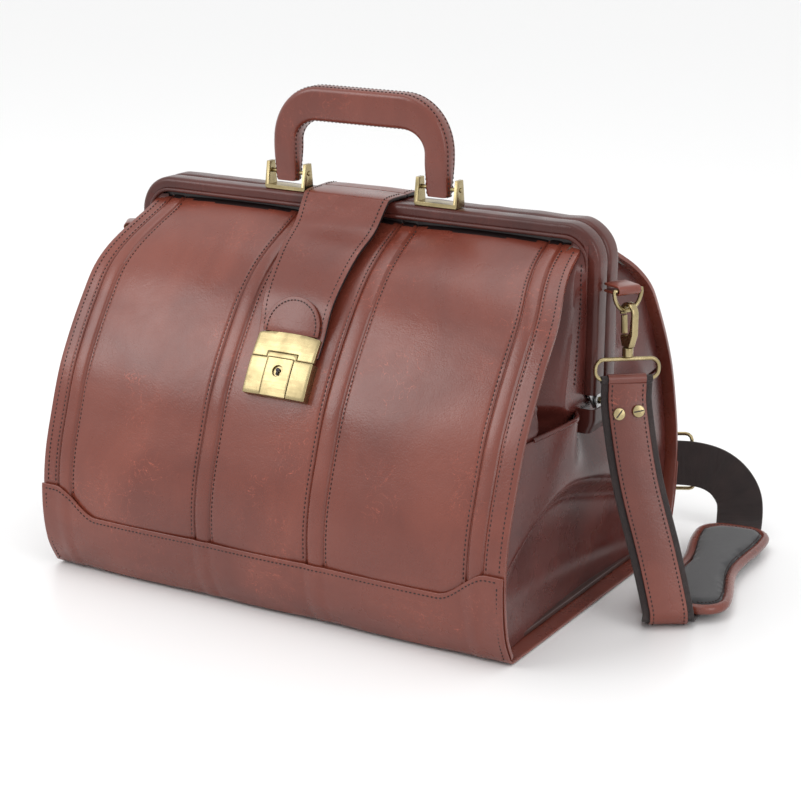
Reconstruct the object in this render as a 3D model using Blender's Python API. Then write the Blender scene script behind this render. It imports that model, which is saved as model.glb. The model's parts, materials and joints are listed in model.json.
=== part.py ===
"""Leather doctor bag: framed mouth, turning handle, flap with lock, clip-on shoulder strap.

Frame: +Z up, the front faces -Y, origin at the middle of the base on the floor. Metres.
"""

import math

import bmesh
import bpy
from mathutils import Matrix, Vector

# ---- overall sizes ----
LENGTH = 0.400  # along X, over the edge welts
DEPTH = 0.290  # along Y, at the floor
TOP_HEIGHT = 0.290  # top of the framed mouth
BULGE = 0.006  # how far the walls swell past the base
JAW_Y = 0.004  # where the two jaws meet
GAP = 0.0003  # between pieces that touch

# ---- leather ----
PANEL_T = 0.0030
WRAP_T = 0.0016
WRAP_MIDDLE = 0.050  # height of the base wrap between its corners
WRAP_CORNER = 0.070
WRAP_SHOULDER = 0.013  # from the bag's end to where the wrap starts to drop
WRAP_DROP = 0.038  # length of that drop
WRAP_CHAMFER = 0.004  # the wrap's bottom edges
GUSSET_T = 0.0024
GUSSET_INSET = 0.009  # gusset face behind the welts
BOARD_T = 0.004
MOUTH_GAP = 0.0065  # from a wall's top edge up to the jaw
SPLIT_Z = 0.165  # above this the back wall follows the back jaw

# ---- jaws and their hinge ----
JAW_DEPTH = 0.0175
JAW_HEIGHT = 0.011
JAW_PARTING = 0.0010
JAW_RADIUS = 0.028
JAW_OUT = 0.001  # jaw legs stand this far past the welts
STEEL_T = 0.0026
STEEL_W = 0.0105
HINGE_Z = 0.158
PIN_R = 0.0024
PIN_CLEARANCE = 0.00025
HINGE_EYE_R = 0.0068

# ---- handle ----
POST_WIDTH = 0.036
POST_INNER = 0.048  # from the middle to a post's inner end
POST_X = POST_INNER + POST_WIDTH / 2
POST_DEPTH = 0.013
POST_BASE_T = 0.0028
EAR_T = 0.0030
EAR_HEIGHT = 0.0205
HANDLE_PIN_R = 0.0016
HANDLE_PIN_UP = 0.0135  # above the jaw
HANDLE_TOP = 0.372
HANDLE_LEG = 0.0200
HANDLE_GRIP = 0.0270
HANDLE_DEPTH = 0.0175
HANDLE_BEND = 0.030  # centreline radius of the corners
CORE_T = 0.0025
CORE_W = 0.0080

# ---- flap, hasp and lock ----
FLAP_TOP_WIDTH = 0.078
FLAP_END_WIDTH = 0.054
FLAP_T = 0.0030
FLAP_SHIFT = -0.008  # sideways, where it crosses the jaws
FLAP_STANDOFF = 0.0075
LOCK_Z = 0.180
LOCK_WIDTH = 0.053
LOCK_DROP = 0.023  # lock case below its middle
LOCK_RISE = 0.0052
LOCK_T = 0.0085
LOCK_TAB_W = 0.025
LOCK_TAB_H = 0.0043
SLIDE_WIDTH = 0.0215
SLIDE_T = 0.0026
CYLINDER_R = 0.0042
KEY_SLOT_W = 0.0016
HASP_T = 0.0036
HASP_TOP = 0.0230
HASP_CROWN = 0.003
TAB_WIDTH = 0.047
TAB_HEIGHT = 0.029
TAB_T = 0.0015

# ---- strap hardware, the right side; the left is its mirror ----
RING_Z = 0.2455
RING_OUT = 0.0205  # bar of the ring beyond the shell's end
RING_X = LENGTH / 2 + RING_OUT
RING_Y = -0.0060
RING_TURN = math.radians(30.0)  # ring bar away from Y
RING_WIDTH = 0.027
RING_DROP = 0.0165
RING_WIRE_R = 0.00155
TAB_LOOP_T = 0.0016
TAB_LOOP_W = 0.019
HOOK_DROP = 0.0500  # ring bar down to the swivel loop's bar
HOOK_WIDTH = 0.0165
HOOK_T = 0.0056
HOOK_BAR = 0.0042
HOOK_NECK = 0.0072  # from the swivel loop's bar up to the hook
LOOP_WIDTH = 0.050
LOOP_HEIGHT = 0.0180
LOOP_WIRE_R = 0.0015
HOOK_SHIFT = 0.0025  # the hook's axis outside the ring's bar
HANG_TURN = math.radians(40.0)  # swivel loop and strap away from X

# ---- shoulder strap ----
STRAP_WIDTH = 0.038
STRAP_T = 0.0022
OVERLAY_WIDTH = 0.028
OVERLAY_T = 0.0014
SCREW_R = 0.0045
SCREW_SPACING = 0.0145
PAD_LENGTH = 0.186
PAD_NEAR = 0.062
PAD_WAIST = 0.042
PAD_FAR = 0.056
PAD_T = 0.009
PAD_START = (0.2665, 0.005)
PAD_DIRECTION = math.radians(8.0)  # the pad's length away from +Y, towards -X
BUCKLE_WIDTH = 0.047
BUCKLE_LENGTH = 0.025
BUCKLE_WIRE_R = 0.0016

# ---- the strap's route: place, and which way its width points ----
ROUTE = [
    ((0.2230, -0.0075, 0.1775), (0.77, 0.64, 0.00)),
    ((0.2252, -0.0101, 0.1580), (0.77, 0.64, 0.00)),
    ((0.2370, -0.0135, 0.1080), (0.77, 0.64, 0.00)),
    ((0.2540, -0.0145, 0.0550), (0.77, 0.64, 0.00)),
    ((0.2645, -0.0160, 0.0200), (0.77, 0.64, 0.00)),
    ((0.2664, -0.0158, 0.0100), (0.79, 0.61, 0.00)),
    ((0.2645, -0.0110, 0.0049), (0.84, 0.54, 0.00)),
    ((0.2615, 0.0020, 0.0036), (0.93, 0.37, 0.00)),
    ((0.2590, 0.0450, 0.0036), (0.99, 0.14, 0.00)),
    ((0.2530, 0.1000, 0.0036), (0.99, 0.14, 0.00)),
    ((0.2440, 0.1600, 0.0036), (0.99, 0.14, 0.00)),
    ((0.2400, 0.1880, 0.0034), (0.99, 0.14, 0.00)),
    ((0.2365, 0.2040, 0.0105), (0.93, 0.24, 0.20)),
    ((0.2320, 0.2110, 0.0290), (0.72, 0.25, 0.60)),
    ((0.2180, 0.2110, 0.0450), (0.38, 0.18, 0.88)),
    ((0.1950, 0.2100, 0.0510), (0.12, 0.08, 0.99)),
    ((0.1600, 0.2050, 0.0480), (-0.02, 0.02, 1.00)),
    ((0.1100, 0.2000, 0.0360), (-0.08, 0.00, 1.00)),
    ((0.0500, 0.1960, 0.0240), (-0.08, 0.00, 1.00)),
    ((-0.0150, 0.1940, 0.0200), (0.00, 0.00, 1.00)),
    ((-0.0800, 0.1930, 0.0215), (0.05, 0.00, 1.00)),
    ((-0.1400, 0.1880, 0.0320), (0.20, -0.05, 0.98)),
    ((-0.1980, 0.1770, 0.0540), (0.25, -0.10, 0.95)),
    ((-0.2330, 0.1420, 0.0800), (0.05, -0.15, 0.97)),
    ((-0.2460, 0.0850, 0.1020), (-0.12, 0.20, 0.93)),
    ((-0.2400, 0.0330, 0.1180), (-0.45, 0.55, 0.62)),
    ((-0.2262, -0.0020, 0.1440), (-0.74, 0.64, 0.12)),
    ((-0.2230, -0.0070, 0.1620), (-0.77, 0.64, 0.00)),
    ((-0.2230, -0.0075, 0.1772), (-0.77, 0.64, 0.00)),
]
ROUTE_STEPS = 4  # sections between two places of the route
OVERLAY_END = 0.250  # length of the leather on the strap's front drop
REAR_TAB = (0.480, 0.570)  # the buckle's leather, by length along the strap

# ---- colours ----
LEATHER = ("leather", (0.24, 0.065, 0.045), 0.35, 0.0)
DARK_LEATHER = ("dark_leather", (0.11, 0.028, 0.022), 0.4, 0.0)
BRASS = ("antique_brass", (0.50, 0.42, 0.22), 0.35, 1.0)
STEEL = ("steel", (0.45, 0.45, 0.46), 0.4, 1.0)
WEBBING = ("webbing", (0.045, 0.028, 0.028), 0.85, 0.0)
FELT = ("felt", (0.075, 0.075, 0.08), 0.95, 0.0)
BOARD = ("board", (0.10, 0.08, 0.06), 0.9, 0.0)
LINING = ("lining", (0.09, 0.06, 0.045), 0.9, 0.0)


def clear_scene():
    for old in list(bpy.data.objects):
        bpy.data.objects.remove(old, do_unlink=True)


def finish_of(look):
    name, colour, roughness, metallic = look
    found = bpy.data.materials.get(name)
    if found:
        return found
    made = bpy.data.materials.new(name)
    made.use_nodes = True
    shader = made.node_tree.nodes["Principled BSDF"]
    shader.inputs["Base Color"].default_value = (*colour, 1.0)
    shader.inputs["Roughness"].default_value = roughness
    shader.inputs["Metallic"].default_value = metallic
    return made


def link(name, data, look):
    made = bpy.data.objects.new(name, data)
    made.data.materials.append(finish_of(look))
    bpy.context.collection.objects.link(made)
    return made


def from_bmesh(name, bm, look):
    bmesh.ops.recalc_face_normals(bm, faces=bm.faces)
    mesh = bpy.data.meshes.new(name)
    bm.to_mesh(mesh)
    bm.free()
    return link(name, mesh, look)


# ---- shape tools ----
def sheet(name, surface, across, along, thickness, look):
    """A curved sheet: surface(u, v) gives the outer face, and the thickness goes inward."""
    bm = bmesh.new()
    bmesh.ops.create_grid(bm, x_segments=across, y_segments=along, size=0.5)
    for vert in bm.verts:
        vert.co = surface(vert.co.x + 0.5, vert.co.y + 0.5)
    mesh = bpy.data.meshes.new(name)
    bm.to_mesh(mesh)
    bm.free()
    made = link(name, mesh, look)
    shell = made.modifiers.new("Thickness", "SOLIDIFY")
    shell.thickness = thickness
    shell.offset = -1.0
    shell.use_even_offset = True
    return made


def sweep(name, sections, look):
    """A solid through a row of sections that have the same number of corners."""
    bm = bmesh.new()
    first = face = bm.faces.new([bm.verts.new(p) for p in sections[0]])
    for section in sections[1:]:
        new = bmesh.ops.extrude_face_region(bm, geom=[face])["geom"]
        cap = next(g for g in new if isinstance(g, bmesh.types.BMFace))
        if face is not first:
            bm.faces.remove(face)
        for vert, place in zip(cap.verts, section):
            vert.co = place
        face = cap
    return from_bmesh(name, bm, look)


def slab(name, outline, low, high, frame, look):
    """An outline in the frame's first two axes, between two heights on its third."""
    sections = [[frame @ Vector((x, y, h)) for x, y in outline] for h in (low, high)]
    return sweep(name, sections, look)


def wire(name, points, radius, look, cyclic=True):
    curve = bpy.data.curves.new(name, "CURVE")
    curve.dimensions = "3D"
    curve.bevel_depth = radius
    curve.bevel_resolution = 2
    curve.use_fill_caps = True
    spline = curve.splines.new("POLY")
    spline.points.add(len(points) - 1)
    for point, place in zip(spline.points, points):
        point.co = (*place, 1.0)
    spline.use_cyclic_u = cyclic
    return link(name, curve, look)


def rod(name, start, end, radius, look, sides=20):
    start, end = Vector(start), Vector(end)
    bm = bmesh.new()
    bmesh.ops.create_cone(bm, cap_ends=True, segments=sides, radius1=radius, radius2=radius,
                          depth=(end - start).length)
    turn = (end - start).to_track_quat("Z", "Y").to_matrix().to_4x4()
    bmesh.ops.transform(bm, matrix=Matrix.Translation((start + end) / 2) @ turn, verts=bm.verts)
    return from_bmesh(name, bm, look)


def cut(body, cutter):
    cutter.hide_render = True
    cutter.display_type = "WIRE"
    modifier = body.modifiers.new("Cut", "BOOLEAN")
    modifier.operation = "DIFFERENCE"
    modifier.object = cutter


def weld(body, addition):
    addition.hide_render = True
    addition.display_type = "WIRE"
    modifier = body.modifiers.new("Join", "BOOLEAN")
    modifier.operation = "UNION"
    modifier.object = addition


def arc(centre, radius, start, end, steps):
    """Points on an arc, angles in degrees."""
    turns = [math.radians(start + (end - start) * k / steps) for k in range(steps + 1)]
    return [(centre[0] + radius * math.cos(t), centre[1] + radius * math.sin(t)) for t in turns]


def rounded_box(half_x, half_y, radius, steps=4):
    corners = [(1, 1, 0), (-1, 1, 90), (-1, -1, 180), (1, -1, 270)]
    outline = []
    for sx, sy, start in corners:
        centre = (sx * (half_x - radius), sy * (half_y - radius))
        outline += arc(centre, radius, start, start + 90, steps)
    return outline


def smoothstep(t):
    t = min(1.0, max(0.0, t))
    return t * t * (3 - 2 * t)


# ---- the bag's own shape ----
def wall_profile():
    """The front wall's outer line as (distance in front of the middle, height), floor to mouth."""
    half = DEPTH / 2
    top = TOP_HEIGHT - JAW_HEIGHT - MOUTH_GAP
    reach = half - JAW_DEPTH  # the mouth's front edge is this far behind the base
    shares = [(-0.012, 0.0), (0.000, 0.09), (BULGE, 0.24), (BULGE * 0.6, 0.35)]
    points = [(half + out, z * top) for out, z in shares]
    shoulder = [(0.036, 0.46), (0.118, 0.57), (0.220, 0.66), (0.345, 0.75), (0.483, 0.835),
                (0.640, 0.905), (0.797, 0.952), (0.925, 0.982), (1.0, 1.0)]
    return points + [(half - back * reach, z * top) for back, z in shoulder]


PROFILE = wall_profile()


def wall_at(z):
    """Distance of the wall's outer face from the middle at a height, on a smooth curve."""
    for k in range(len(PROFILE) - 1):
        (r0, z0), (r1, z1) = PROFILE[k], PROFILE[k + 1]
        if z <= z1 or k == len(PROFILE) - 2:
            before = PROFILE[k - 1] if k else PROFILE[k]
            after = PROFILE[min(k + 2, len(PROFILE) - 1)]
            t = (z - z0) / (z1 - z0)
            slope0 = (r1 - before[0]) / (z1 - before[1]) * (z1 - z0)
            slope1 = (after[0] - r0) / (after[1] - z0) * (z1 - z0)
            h = t * t * (3 - 2 * t)
            return (r0 * (1 - h) + r1 * h + slope0 * t * (1 - t) ** 2
                    - slope1 * t * t * (1 - t))
    return PROFILE[-1][0]


def lean(z):
    """The walls' middle at a height: the mouth sits JAW_Y behind the base's middle."""
    return JAW_Y * smoothstep(z / HINGE_Z)


def wall_y(side, z):
    return lean(z) + side * wall_at(z)


def wall_half_length(z):
    """The walls narrow round the mouth's corners."""
    top = PROFILE[-1][1]
    return LENGTH / 2 - 0.014 * smoothstep((z - 0.80 * top) / (0.20 * top)) ** 1.5


def inside_wall(side, z, clearance):
    """Where, at a height, a piece may start that keeps this far inside the wall's outer face."""
    rise = 0.004
    slope = (wall_at(z + rise) - wall_at(z - rise)) / (2 * rise)
    return wall_y(side, z) - side * clearance * math.hypot(1, slope)


def wall(name, side, low, high, rows, look):
    def surface(u, v):
        z = low + (high - low) * v
        return (side * (2 * u - 1) * wall_half_length(z) * -1, wall_y(side, z), z)
    return sheet(name, surface, 12, rows, PANEL_T, look)


def wrap_height(x):
    start = LENGTH / 2 - WRAP_SHOULDER
    rise = smoothstep((abs(x) - start + WRAP_DROP) / WRAP_DROP)
    return WRAP_MIDDLE + (WRAP_CORNER - WRAP_MIDDLE) * rise


def base_wrap():
    """The leather that wraps the bottom and both walls' feet."""
    skin = WRAP_T + 2 * GAP
    rows = 6
    floor = wall_at(WRAP_CHAMFER) + skin - WRAP_CHAMFER
    bottom = [-floor, -0.9 * floor, 0.9 * floor, floor]
    count = 2 * rows + 1 + len(bottom)

    def surface(u, v):
        x = LENGTH * (0.5 - u)
        step = round(v * count)
        if rows < step <= rows + len(bottom):
            return (x, bottom[step - rows - 1], 0.0)
        side = -1 if step <= rows else 1
        up = 1 - step / rows if side < 0 else 1 - (count - step) / rows
        z = WRAP_CHAMFER + (wrap_height(x) - WRAP_CHAMFER) * up
        return (x, wall_y(side, z) + side * skin, z)
    return sheet("base_wrap", surface, 40, count, WRAP_T, LEATHER)


def base_board():
    half_x = LENGTH / 2 - GUSSET_INSET - GUSSET_T - 0.002
    half_y = wall_at(WRAP_CHAMFER) - PANEL_T - 0.002
    low = WRAP_T + 2 * GAP
    slab("base_board", rounded_box(half_x, half_y, 0.012), low, low + BOARD_T,
         Matrix.Identity(4), BOARD)


def gusset_x(y, z):
    """The gusset's outer face: recessed at its edges and swollen between them."""
    swell = 0.007 * math.cos(min(1.0, abs(y - lean(z)) / wall_at(z)) * math.pi / 2)
    return LENGTH / 2 - GUSSET_INSET + swell * math.sin(math.pi * min(1.0, z / HINGE_Z)) ** 0.5


def gusset(name, hand, low, high, from_y, to_y, rows):
    def surface(u, v):
        z = low + (high - low) * v
        near, far = from_y(z), to_y(z)
        y = near + (far - near) * u
        return (hand * gusset_x(y, z), y, z)
    made = sheet(name, surface, 8, rows, GUSSET_T, LEATHER)
    made.modifiers["Thickness"].offset = -hand
    return made


def gussets(hand, side_name):
    clearance = PANEL_T + 4 * GAP
    leg = JAW_DEPTH + JAW_PARTING / 2 + 3 * GAP
    foot = WRAP_T + BOARD_T + 3 * GAP
    top = PROFILE[-1][1] - 0.010
    split = HINGE_Z + 0.004

    def front(z):
        return inside_wall(-1, z, clearance)

    def back(z):
        return inside_wall(1, z, clearance)

    gusset(f"gusset_{side_name}_lower", hand, foot, HINGE_Z - 0.010, front, back, 8)
    gusset(f"gusset_{side_name}_front", hand, split, top, front, lambda z: JAW_Y - leg, 9)
    gusset(f"gusset_{side_name}_back", hand, split, top, lambda z: JAW_Y + leg, back, 9)


def shell_and_base():
    top = PROFILE[-1][1]
    foot = WRAP_CHAMFER + WRAP_T + GAP
    wall("front_panel", -1, foot, top, 18, LEATHER)
    wall("back_panel_lower", 1, foot, SPLIT_Z - GAP, 9, LEATHER)
    wall("back_panel_upper", 1, SPLIT_Z + GAP, top, 10, LEATHER)
    base_wrap()
    base_board()
    gussets(1, "right")
    gussets(-1, "left")


def inner_pocket():
    """A lining pocket on the inside of the back wall."""
    def surface(u, v):
        z = 0.060 + 0.085 * v
        return (0.11 * (1 - 2 * u), wall_y(1, z) - PANEL_T - 0.002, z)
    sheet("inner_pocket", surface, 6, 6, 0.0015, LINING)


# ---- jaws ----
def jaw_path():
    """Stations round the mouth in the XZ plane: place and outward direction."""
    half = LENGTH / 2 + JAW_OUT
    foot = HINGE_Z + HINGE_EYE_R + 0.001
    corner_z = TOP_HEIGHT - JAW_RADIUS
    stations = [(Vector((-half, 0, foot)), Vector((-1, 0, 0)))]
    for side, start in ((-1, 180), (1, 90)):
        centre = Vector((side * (half - JAW_RADIUS), 0, corner_z))
        for k in range(9):
            turn = math.radians(start - 90 * k / 8)
            out = Vector((math.cos(turn), 0, math.sin(turn)))
            stations.append((centre + out * JAW_RADIUS, out))
    stations.append((Vector((half, 0, foot)), Vector((1, 0, 0))))
    return stations


def jaw_sweep(name, section, look):
    """Sweeps a section of (distance inward, y) corners round the mouth."""
    rows = [[place - out * inward + Vector((0, y, 0)) for inward, y in section]
            for place, out in jaw_path()]
    return sweep(name, rows, look)


def jaw(name, side):
    """A leather-covered channel with the steel bar inside it."""
    near = JAW_Y + side * JAW_PARTING / 2
    far = near + side * JAW_DEPTH
    skin = (JAW_DEPTH - STEEL_W) / 2
    roof = (JAW_HEIGHT - STEEL_T) / 2
    round_off = 0.004
    cover = [(0, near), (0, far - side * round_off), (0.0012, far - side * 0.0012),
             (round_off, far), (JAW_HEIGHT, far), (JAW_HEIGHT, far - side * (skin - GAP)),
             (roof, far - side * (skin - GAP)), (roof, near + side * (skin - GAP)),
             (JAW_HEIGHT, near + side * (skin - GAP)), (JAW_HEIGHT, near)]
    jaw_sweep(f"{name}_jaw_cover", cover, LEATHER)
    low, high = roof + GAP, roof + GAP + STEEL_T
    a, b = near + side * skin, near + side * (skin + STEEL_W)
    jaw_sweep(f"{name}_jaw_frame", [(low, a), (low, b), (high, b), (high, a)], STEEL)


def hinge_plate(name, hand, side, inner_x):
    """A flat eye at the end of a jaw's leg, reaching to the hinge pin."""
    reach = JAW_PARTING / 2 + (JAW_DEPTH - STEEL_W) / 2 + STEEL_W
    foot = HINGE_Z + HINGE_EYE_R + 0.0005
    leg = [(reach, foot - HINGE_Z), (reach - 0.0085, foot - HINGE_Z)]
    outline = [(JAW_Y + side * y, HINGE_Z + z) for y, z in [*leg, *arc((0, 0), HINGE_EYE_R, 100, 320, 12)]]
    frame = Matrix(((0, 0, hand, 0), (1, 0, 0, 0), (0, 1, 0, 0), (0, 0, 0, 1)))
    plate = slab(name, outline, inner_x, inner_x + 0.0016, frame, STEEL)
    hole = rod(f"{name}_hole", (hand * (inner_x - 0.01), JAW_Y, HINGE_Z),
               (hand * (inner_x + 0.01), JAW_Y, HINGE_Z), PIN_R + PIN_CLEARANCE, STEEL, 24)
    cut(plate, hole)


def hinge(hand, side_name):
    plate_x = LENGTH / 2 + JAW_OUT - JAW_HEIGHT + 0.0035
    hinge_plate(f"hinge_plate_front_{side_name}", hand, -1, plate_x)
    hinge_plate(f"hinge_plate_back_{side_name}", hand, 1, plate_x + 0.0020)
    rod(f"hinge_pin_{side_name}", (hand * (plate_x - 0.0015), JAW_Y, HINGE_Z),
        (hand * (plate_x + 0.0052), JAW_Y, HINGE_Z), PIN_R, BRASS, 24)


# ---- handle ----
HANDLE_Y = JAW_Y - JAW_PARTING / 2 - JAW_DEPTH / 2
HANDLE_PIN_Z = TOP_HEIGHT + HANDLE_PIN_UP


def handle_post(hand, side_name):
    """A brass bracket with two tapered ears, on top of the front jaw."""
    base = TOP_HEIGHT + GAP
    half_w, half_d = POST_WIDTH / 2, POST_DEPTH / 2
    frame = Matrix.Translation((hand * POST_X, HANDLE_Y, 0))
    name = f"handle_post_{side_name}"
    post = slab(name, rounded_box(half_w, half_d, 0.0015, 2), base, base + POST_BASE_T, frame, BRASS)
    ear = [(-half_d, base + 0.001), (half_d, base + 0.001), (half_d * 0.55, base + EAR_HEIGHT),
           (-half_d * 0.55, base + EAR_HEIGHT)]
    for end in (-1, 1):
        inner = end * (half_w - EAR_T)
        turn = Matrix(((0, 0, 1, hand * POST_X), (1, 0, 0, HANDLE_Y), (0, 1, 0, 0), (0, 0, 0, 1)))
        ear_solid = slab(f"{name}_ear{end}", ear, inner, end * half_w, turn, BRASS)
        weld(post, ear_solid)
    reach = half_w + 0.01
    hole = rod(f"{name}_bore", (hand * POST_X - reach, HANDLE_Y, HANDLE_PIN_Z),
               (hand * POST_X + reach, HANDLE_Y, HANDLE_PIN_Z), HANDLE_PIN_R + PIN_CLEARANCE, BRASS, 16)
    cut(post, hole)
    grip_end = half_w + 0.0008
    rod(f"handle_pin_{side_name}", (hand * POST_X - grip_end, HANDLE_Y, HANDLE_PIN_Z),
        (hand * POST_X + grip_end, HANDLE_Y, HANDLE_PIN_Z), HANDLE_PIN_R, BRASS, 16)


def handle_path(foot_z):
    """Stations along the handle's middle: place, outward direction, half height of the section."""
    top = HANDLE_TOP - HANDLE_GRIP / 2
    corner_z = top - HANDLE_BEND
    leg, grip = HANDLE_LEG / 2, HANDLE_GRIP / 2
    stations = [(Vector((-POST_X, 0, foot_z)), Vector((-1, 0, 0)), leg)]
    for side, start in ((-1, 180), (1, 90)):
        centre = Vector((side * (POST_X - HANDLE_BEND), 0, corner_z))
        for k in range(9):
            turn = math.radians(start - 90 * k / 8)
            share = k / 8 if side < 0 else 1 - k / 8
            out = Vector((math.cos(turn), 0, math.sin(turn)))
            stations.append((centre + out * HANDLE_BEND, out, leg + (grip - leg) * share))
    stations.append((Vector((POST_X, 0, foot_z)), Vector((1, 0, 0)), leg))
    return stations


def handle():
    """A leather grip, open along its inside, round a flat steel core that hangs on the pins."""
    slot = CORE_W / 2 + GAP
    bite = 0.0030  # outer corners cut back
    rows = []
    for place, out, half in handle_path(HANDLE_PIN_Z + 0.0045):
        d = HANDLE_DEPTH / 2
        corners = [(-half, -slot), (-half, -d + bite), (-half + bite, -d), (half - bite, -d),
                   (half, -d + bite), (half, d - bite), (half - bite, d), (-half + bite, d),
                   (-half, d - bite), (-half, slot), (CORE_T / 2 + GAP, slot),
                   (CORE_T / 2 + GAP, -slot)]
        rows.append([place + out * u + Vector((0, HANDLE_Y + v, 0)) for u, v in corners])
    sweep("handle_grip", rows, LEATHER)
    rows = []
    t, w = CORE_T / 2, CORE_W / 2
    for place, out, _ in handle_path(HANDLE_PIN_Z - 0.0045):
        corners = [(-t, -w), (t, -w), (t, w), (-t, w)]
        rows.append([place + out * u + Vector((0, HANDLE_Y + v, 0)) for u, v in corners])
    core = sweep("handle_core", rows, STEEL)
    for hand in (-1, 1):
        hole = rod(f"core_hole{hand}", (hand * (POST_X - 0.01), HANDLE_Y, HANDLE_PIN_Z),
                   (hand * (POST_X + 0.01), HANDLE_Y, HANDLE_PIN_Z),
                   HANDLE_PIN_R + PIN_CLEARANCE, STEEL, 16)
        cut(core, hole)


# ---- flap ----
def lock_frame():
    """The lock's frame: x across, y up the wall, z out of the wall, on the wall's outer face."""
    rise = 0.010
    up = Vector((0, wall_y(-1, LOCK_Z + rise) - wall_y(-1, LOCK_Z - rise), 2 * rise)).normalized()
    out = Vector((1, 0, 0)).cross(up)
    place = Vector((0, wall_y(-1, LOCK_Z), LOCK_Z)) + out * 0.0012
    return Matrix(((1, up.x, out.x, place.x), (0, up.y, out.y, place.y),
                   (0, up.z, out.z, place.z), (0, 0, 0, 1)))


LOCK = lock_frame()
FLAP_PIVOT_Y = JAW_Y + 0.004
FLAP_Z = TOP_HEIGHT + GAP + FLAP_T  # the flap's outer face on top of the jaws


def wall_out(side, z, lift):
    """A point off a wall's outer face at a height, moved out by lift."""
    rise = 0.004
    up = Vector((0, wall_y(side, z + rise) - wall_y(side, z - rise), 2 * rise)).normalized()
    out = Vector((-side, 0, 0)).cross(up)
    return Vector((0, wall_y(side, z), z)) + out * lift


def flap_line():
    """The flap's outer line from its fold over the jaws down to the hasp."""
    edge = JAW_Y - JAW_PARTING / 2 - JAW_DEPTH
    top = PROFILE[-1][1]
    seat = FLAP_T + 0.0012
    off_wall = [wall_out(-1, top * share, FLAP_STANDOFF + FLAP_T) for share in (0.965, 0.920, 0.865, 0.805)]
    end = LOCK_RISE + LOCK_TAB_H + 2 * GAP
    under = [LOCK @ Vector((0, y, seat)) for y in (HASP_TOP + 0.004, HASP_TOP - 0.006, end)]
    return [Vector((0, FLAP_PIVOT_Y, FLAP_Z)), Vector((0, edge - 0.0005, FLAP_Z)),
            Vector((0, edge - 0.0080, FLAP_Z - 0.0045)), *off_wall, *under]


def along(line, share):
    """A point and the distance share on a line of points."""
    steps = [0.0]
    for a, b in zip(line, line[1:]):
        steps.append(steps[-1] + (b - a).length)
    goal = share * steps[-1]
    for k in range(len(line) - 1):
        if goal <= steps[k + 1] or k == len(line) - 2:
            return line[k].lerp(line[k + 1], (goal - steps[k]) / (steps[k + 1] - steps[k]))


def flap():
    line = flap_line()

    def front(u, v):
        place = along(line, v)
        width = FLAP_TOP_WIDTH + (FLAP_END_WIDTH - FLAP_TOP_WIDTH) * v
        shift = FLAP_SHIFT * (1 - v)
        return place + Vector((shift + width * (u - 0.5), 0, 0))
    made = sheet("closure_flap", front, 4, 24, FLAP_T, LEATHER)
    made.modifiers["Thickness"].offset = 1.0

    back_edge = JAW_Y + JAW_PARTING / 2 + JAW_DEPTH
    top = PROFILE[-1][1]

    def on_back(z):
        return wall_out(1, z, FLAP_T + 4 * GAP)
    tail = [Vector((0, FLAP_PIVOT_Y + GAP, FLAP_Z)), Vector((0, back_edge + 0.0005, FLAP_Z)),
            Vector((0, back_edge + 0.0075, FLAP_Z - 0.0040)), on_back(top * 0.975) + Vector((0, 0.003, 0.002)),
            on_back(top * 0.945), on_back(top * 0.91), on_back(top * 0.86)]

    def rear(u, v):
        place = along(tail, v)
        return place + Vector((FLAP_SHIFT + FLAP_TOP_WIDTH * (0.5 - u), 0, 0))
    made = sheet("closure_flap_anchor", rear, 4, 14, FLAP_T, LEATHER)
    made.modifiers["Thickness"].offset = 1.0


def hasp():
    half = LOCK_WIDTH / 2
    foot = LOCK_RISE + GAP
    notch = LOCK_TAB_W / 2 + GAP
    crown = [(half * math.cos(math.pi * k / 10), HASP_TOP + HASP_CROWN * math.sin(math.pi * k / 10))
             for k in range(11)]
    outline = [(-half, foot), (-notch, foot), (-notch, foot + LOCK_TAB_H), (notch, foot + LOCK_TAB_H),
               (notch, foot), (half, foot), *crown]
    low = FLAP_T + 0.0012 + GAP
    slab("hasp_plate", outline, low, low + HASP_T, LOCK, BRASS)
    start = HASP_TOP + HASP_CROWN + 4 * GAP
    r = TAB_WIDTH / 2
    outline = [(-r, start), (r, start), *arc((0, start + TAB_HEIGHT - r), r, 0, 180, 12)]
    top = PROFILE[-1][1]
    reach = wall_out(-1, top * 0.805, FLAP_STANDOFF + FLAP_T) - (LOCK @ Vector((0, HASP_TOP, FLAP_T)))
    up = reach.normalized()
    out = Vector((1, 0, 0)).cross(up)
    base = LOCK @ Vector((0, HASP_TOP, FLAP_T + 0.0012))
    frame = Matrix(((1, up.x, out.x, base.x), (0, up.y, out.y, base.y), (0, up.z, out.z, base.z),
                    (0, 0, 0, 1))) @ Matrix.Translation((0, -HASP_TOP, 0))
    slab("flap_tab", outline, 0.0012, 0.0012 + TAB_T, frame, LEATHER)


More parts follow.
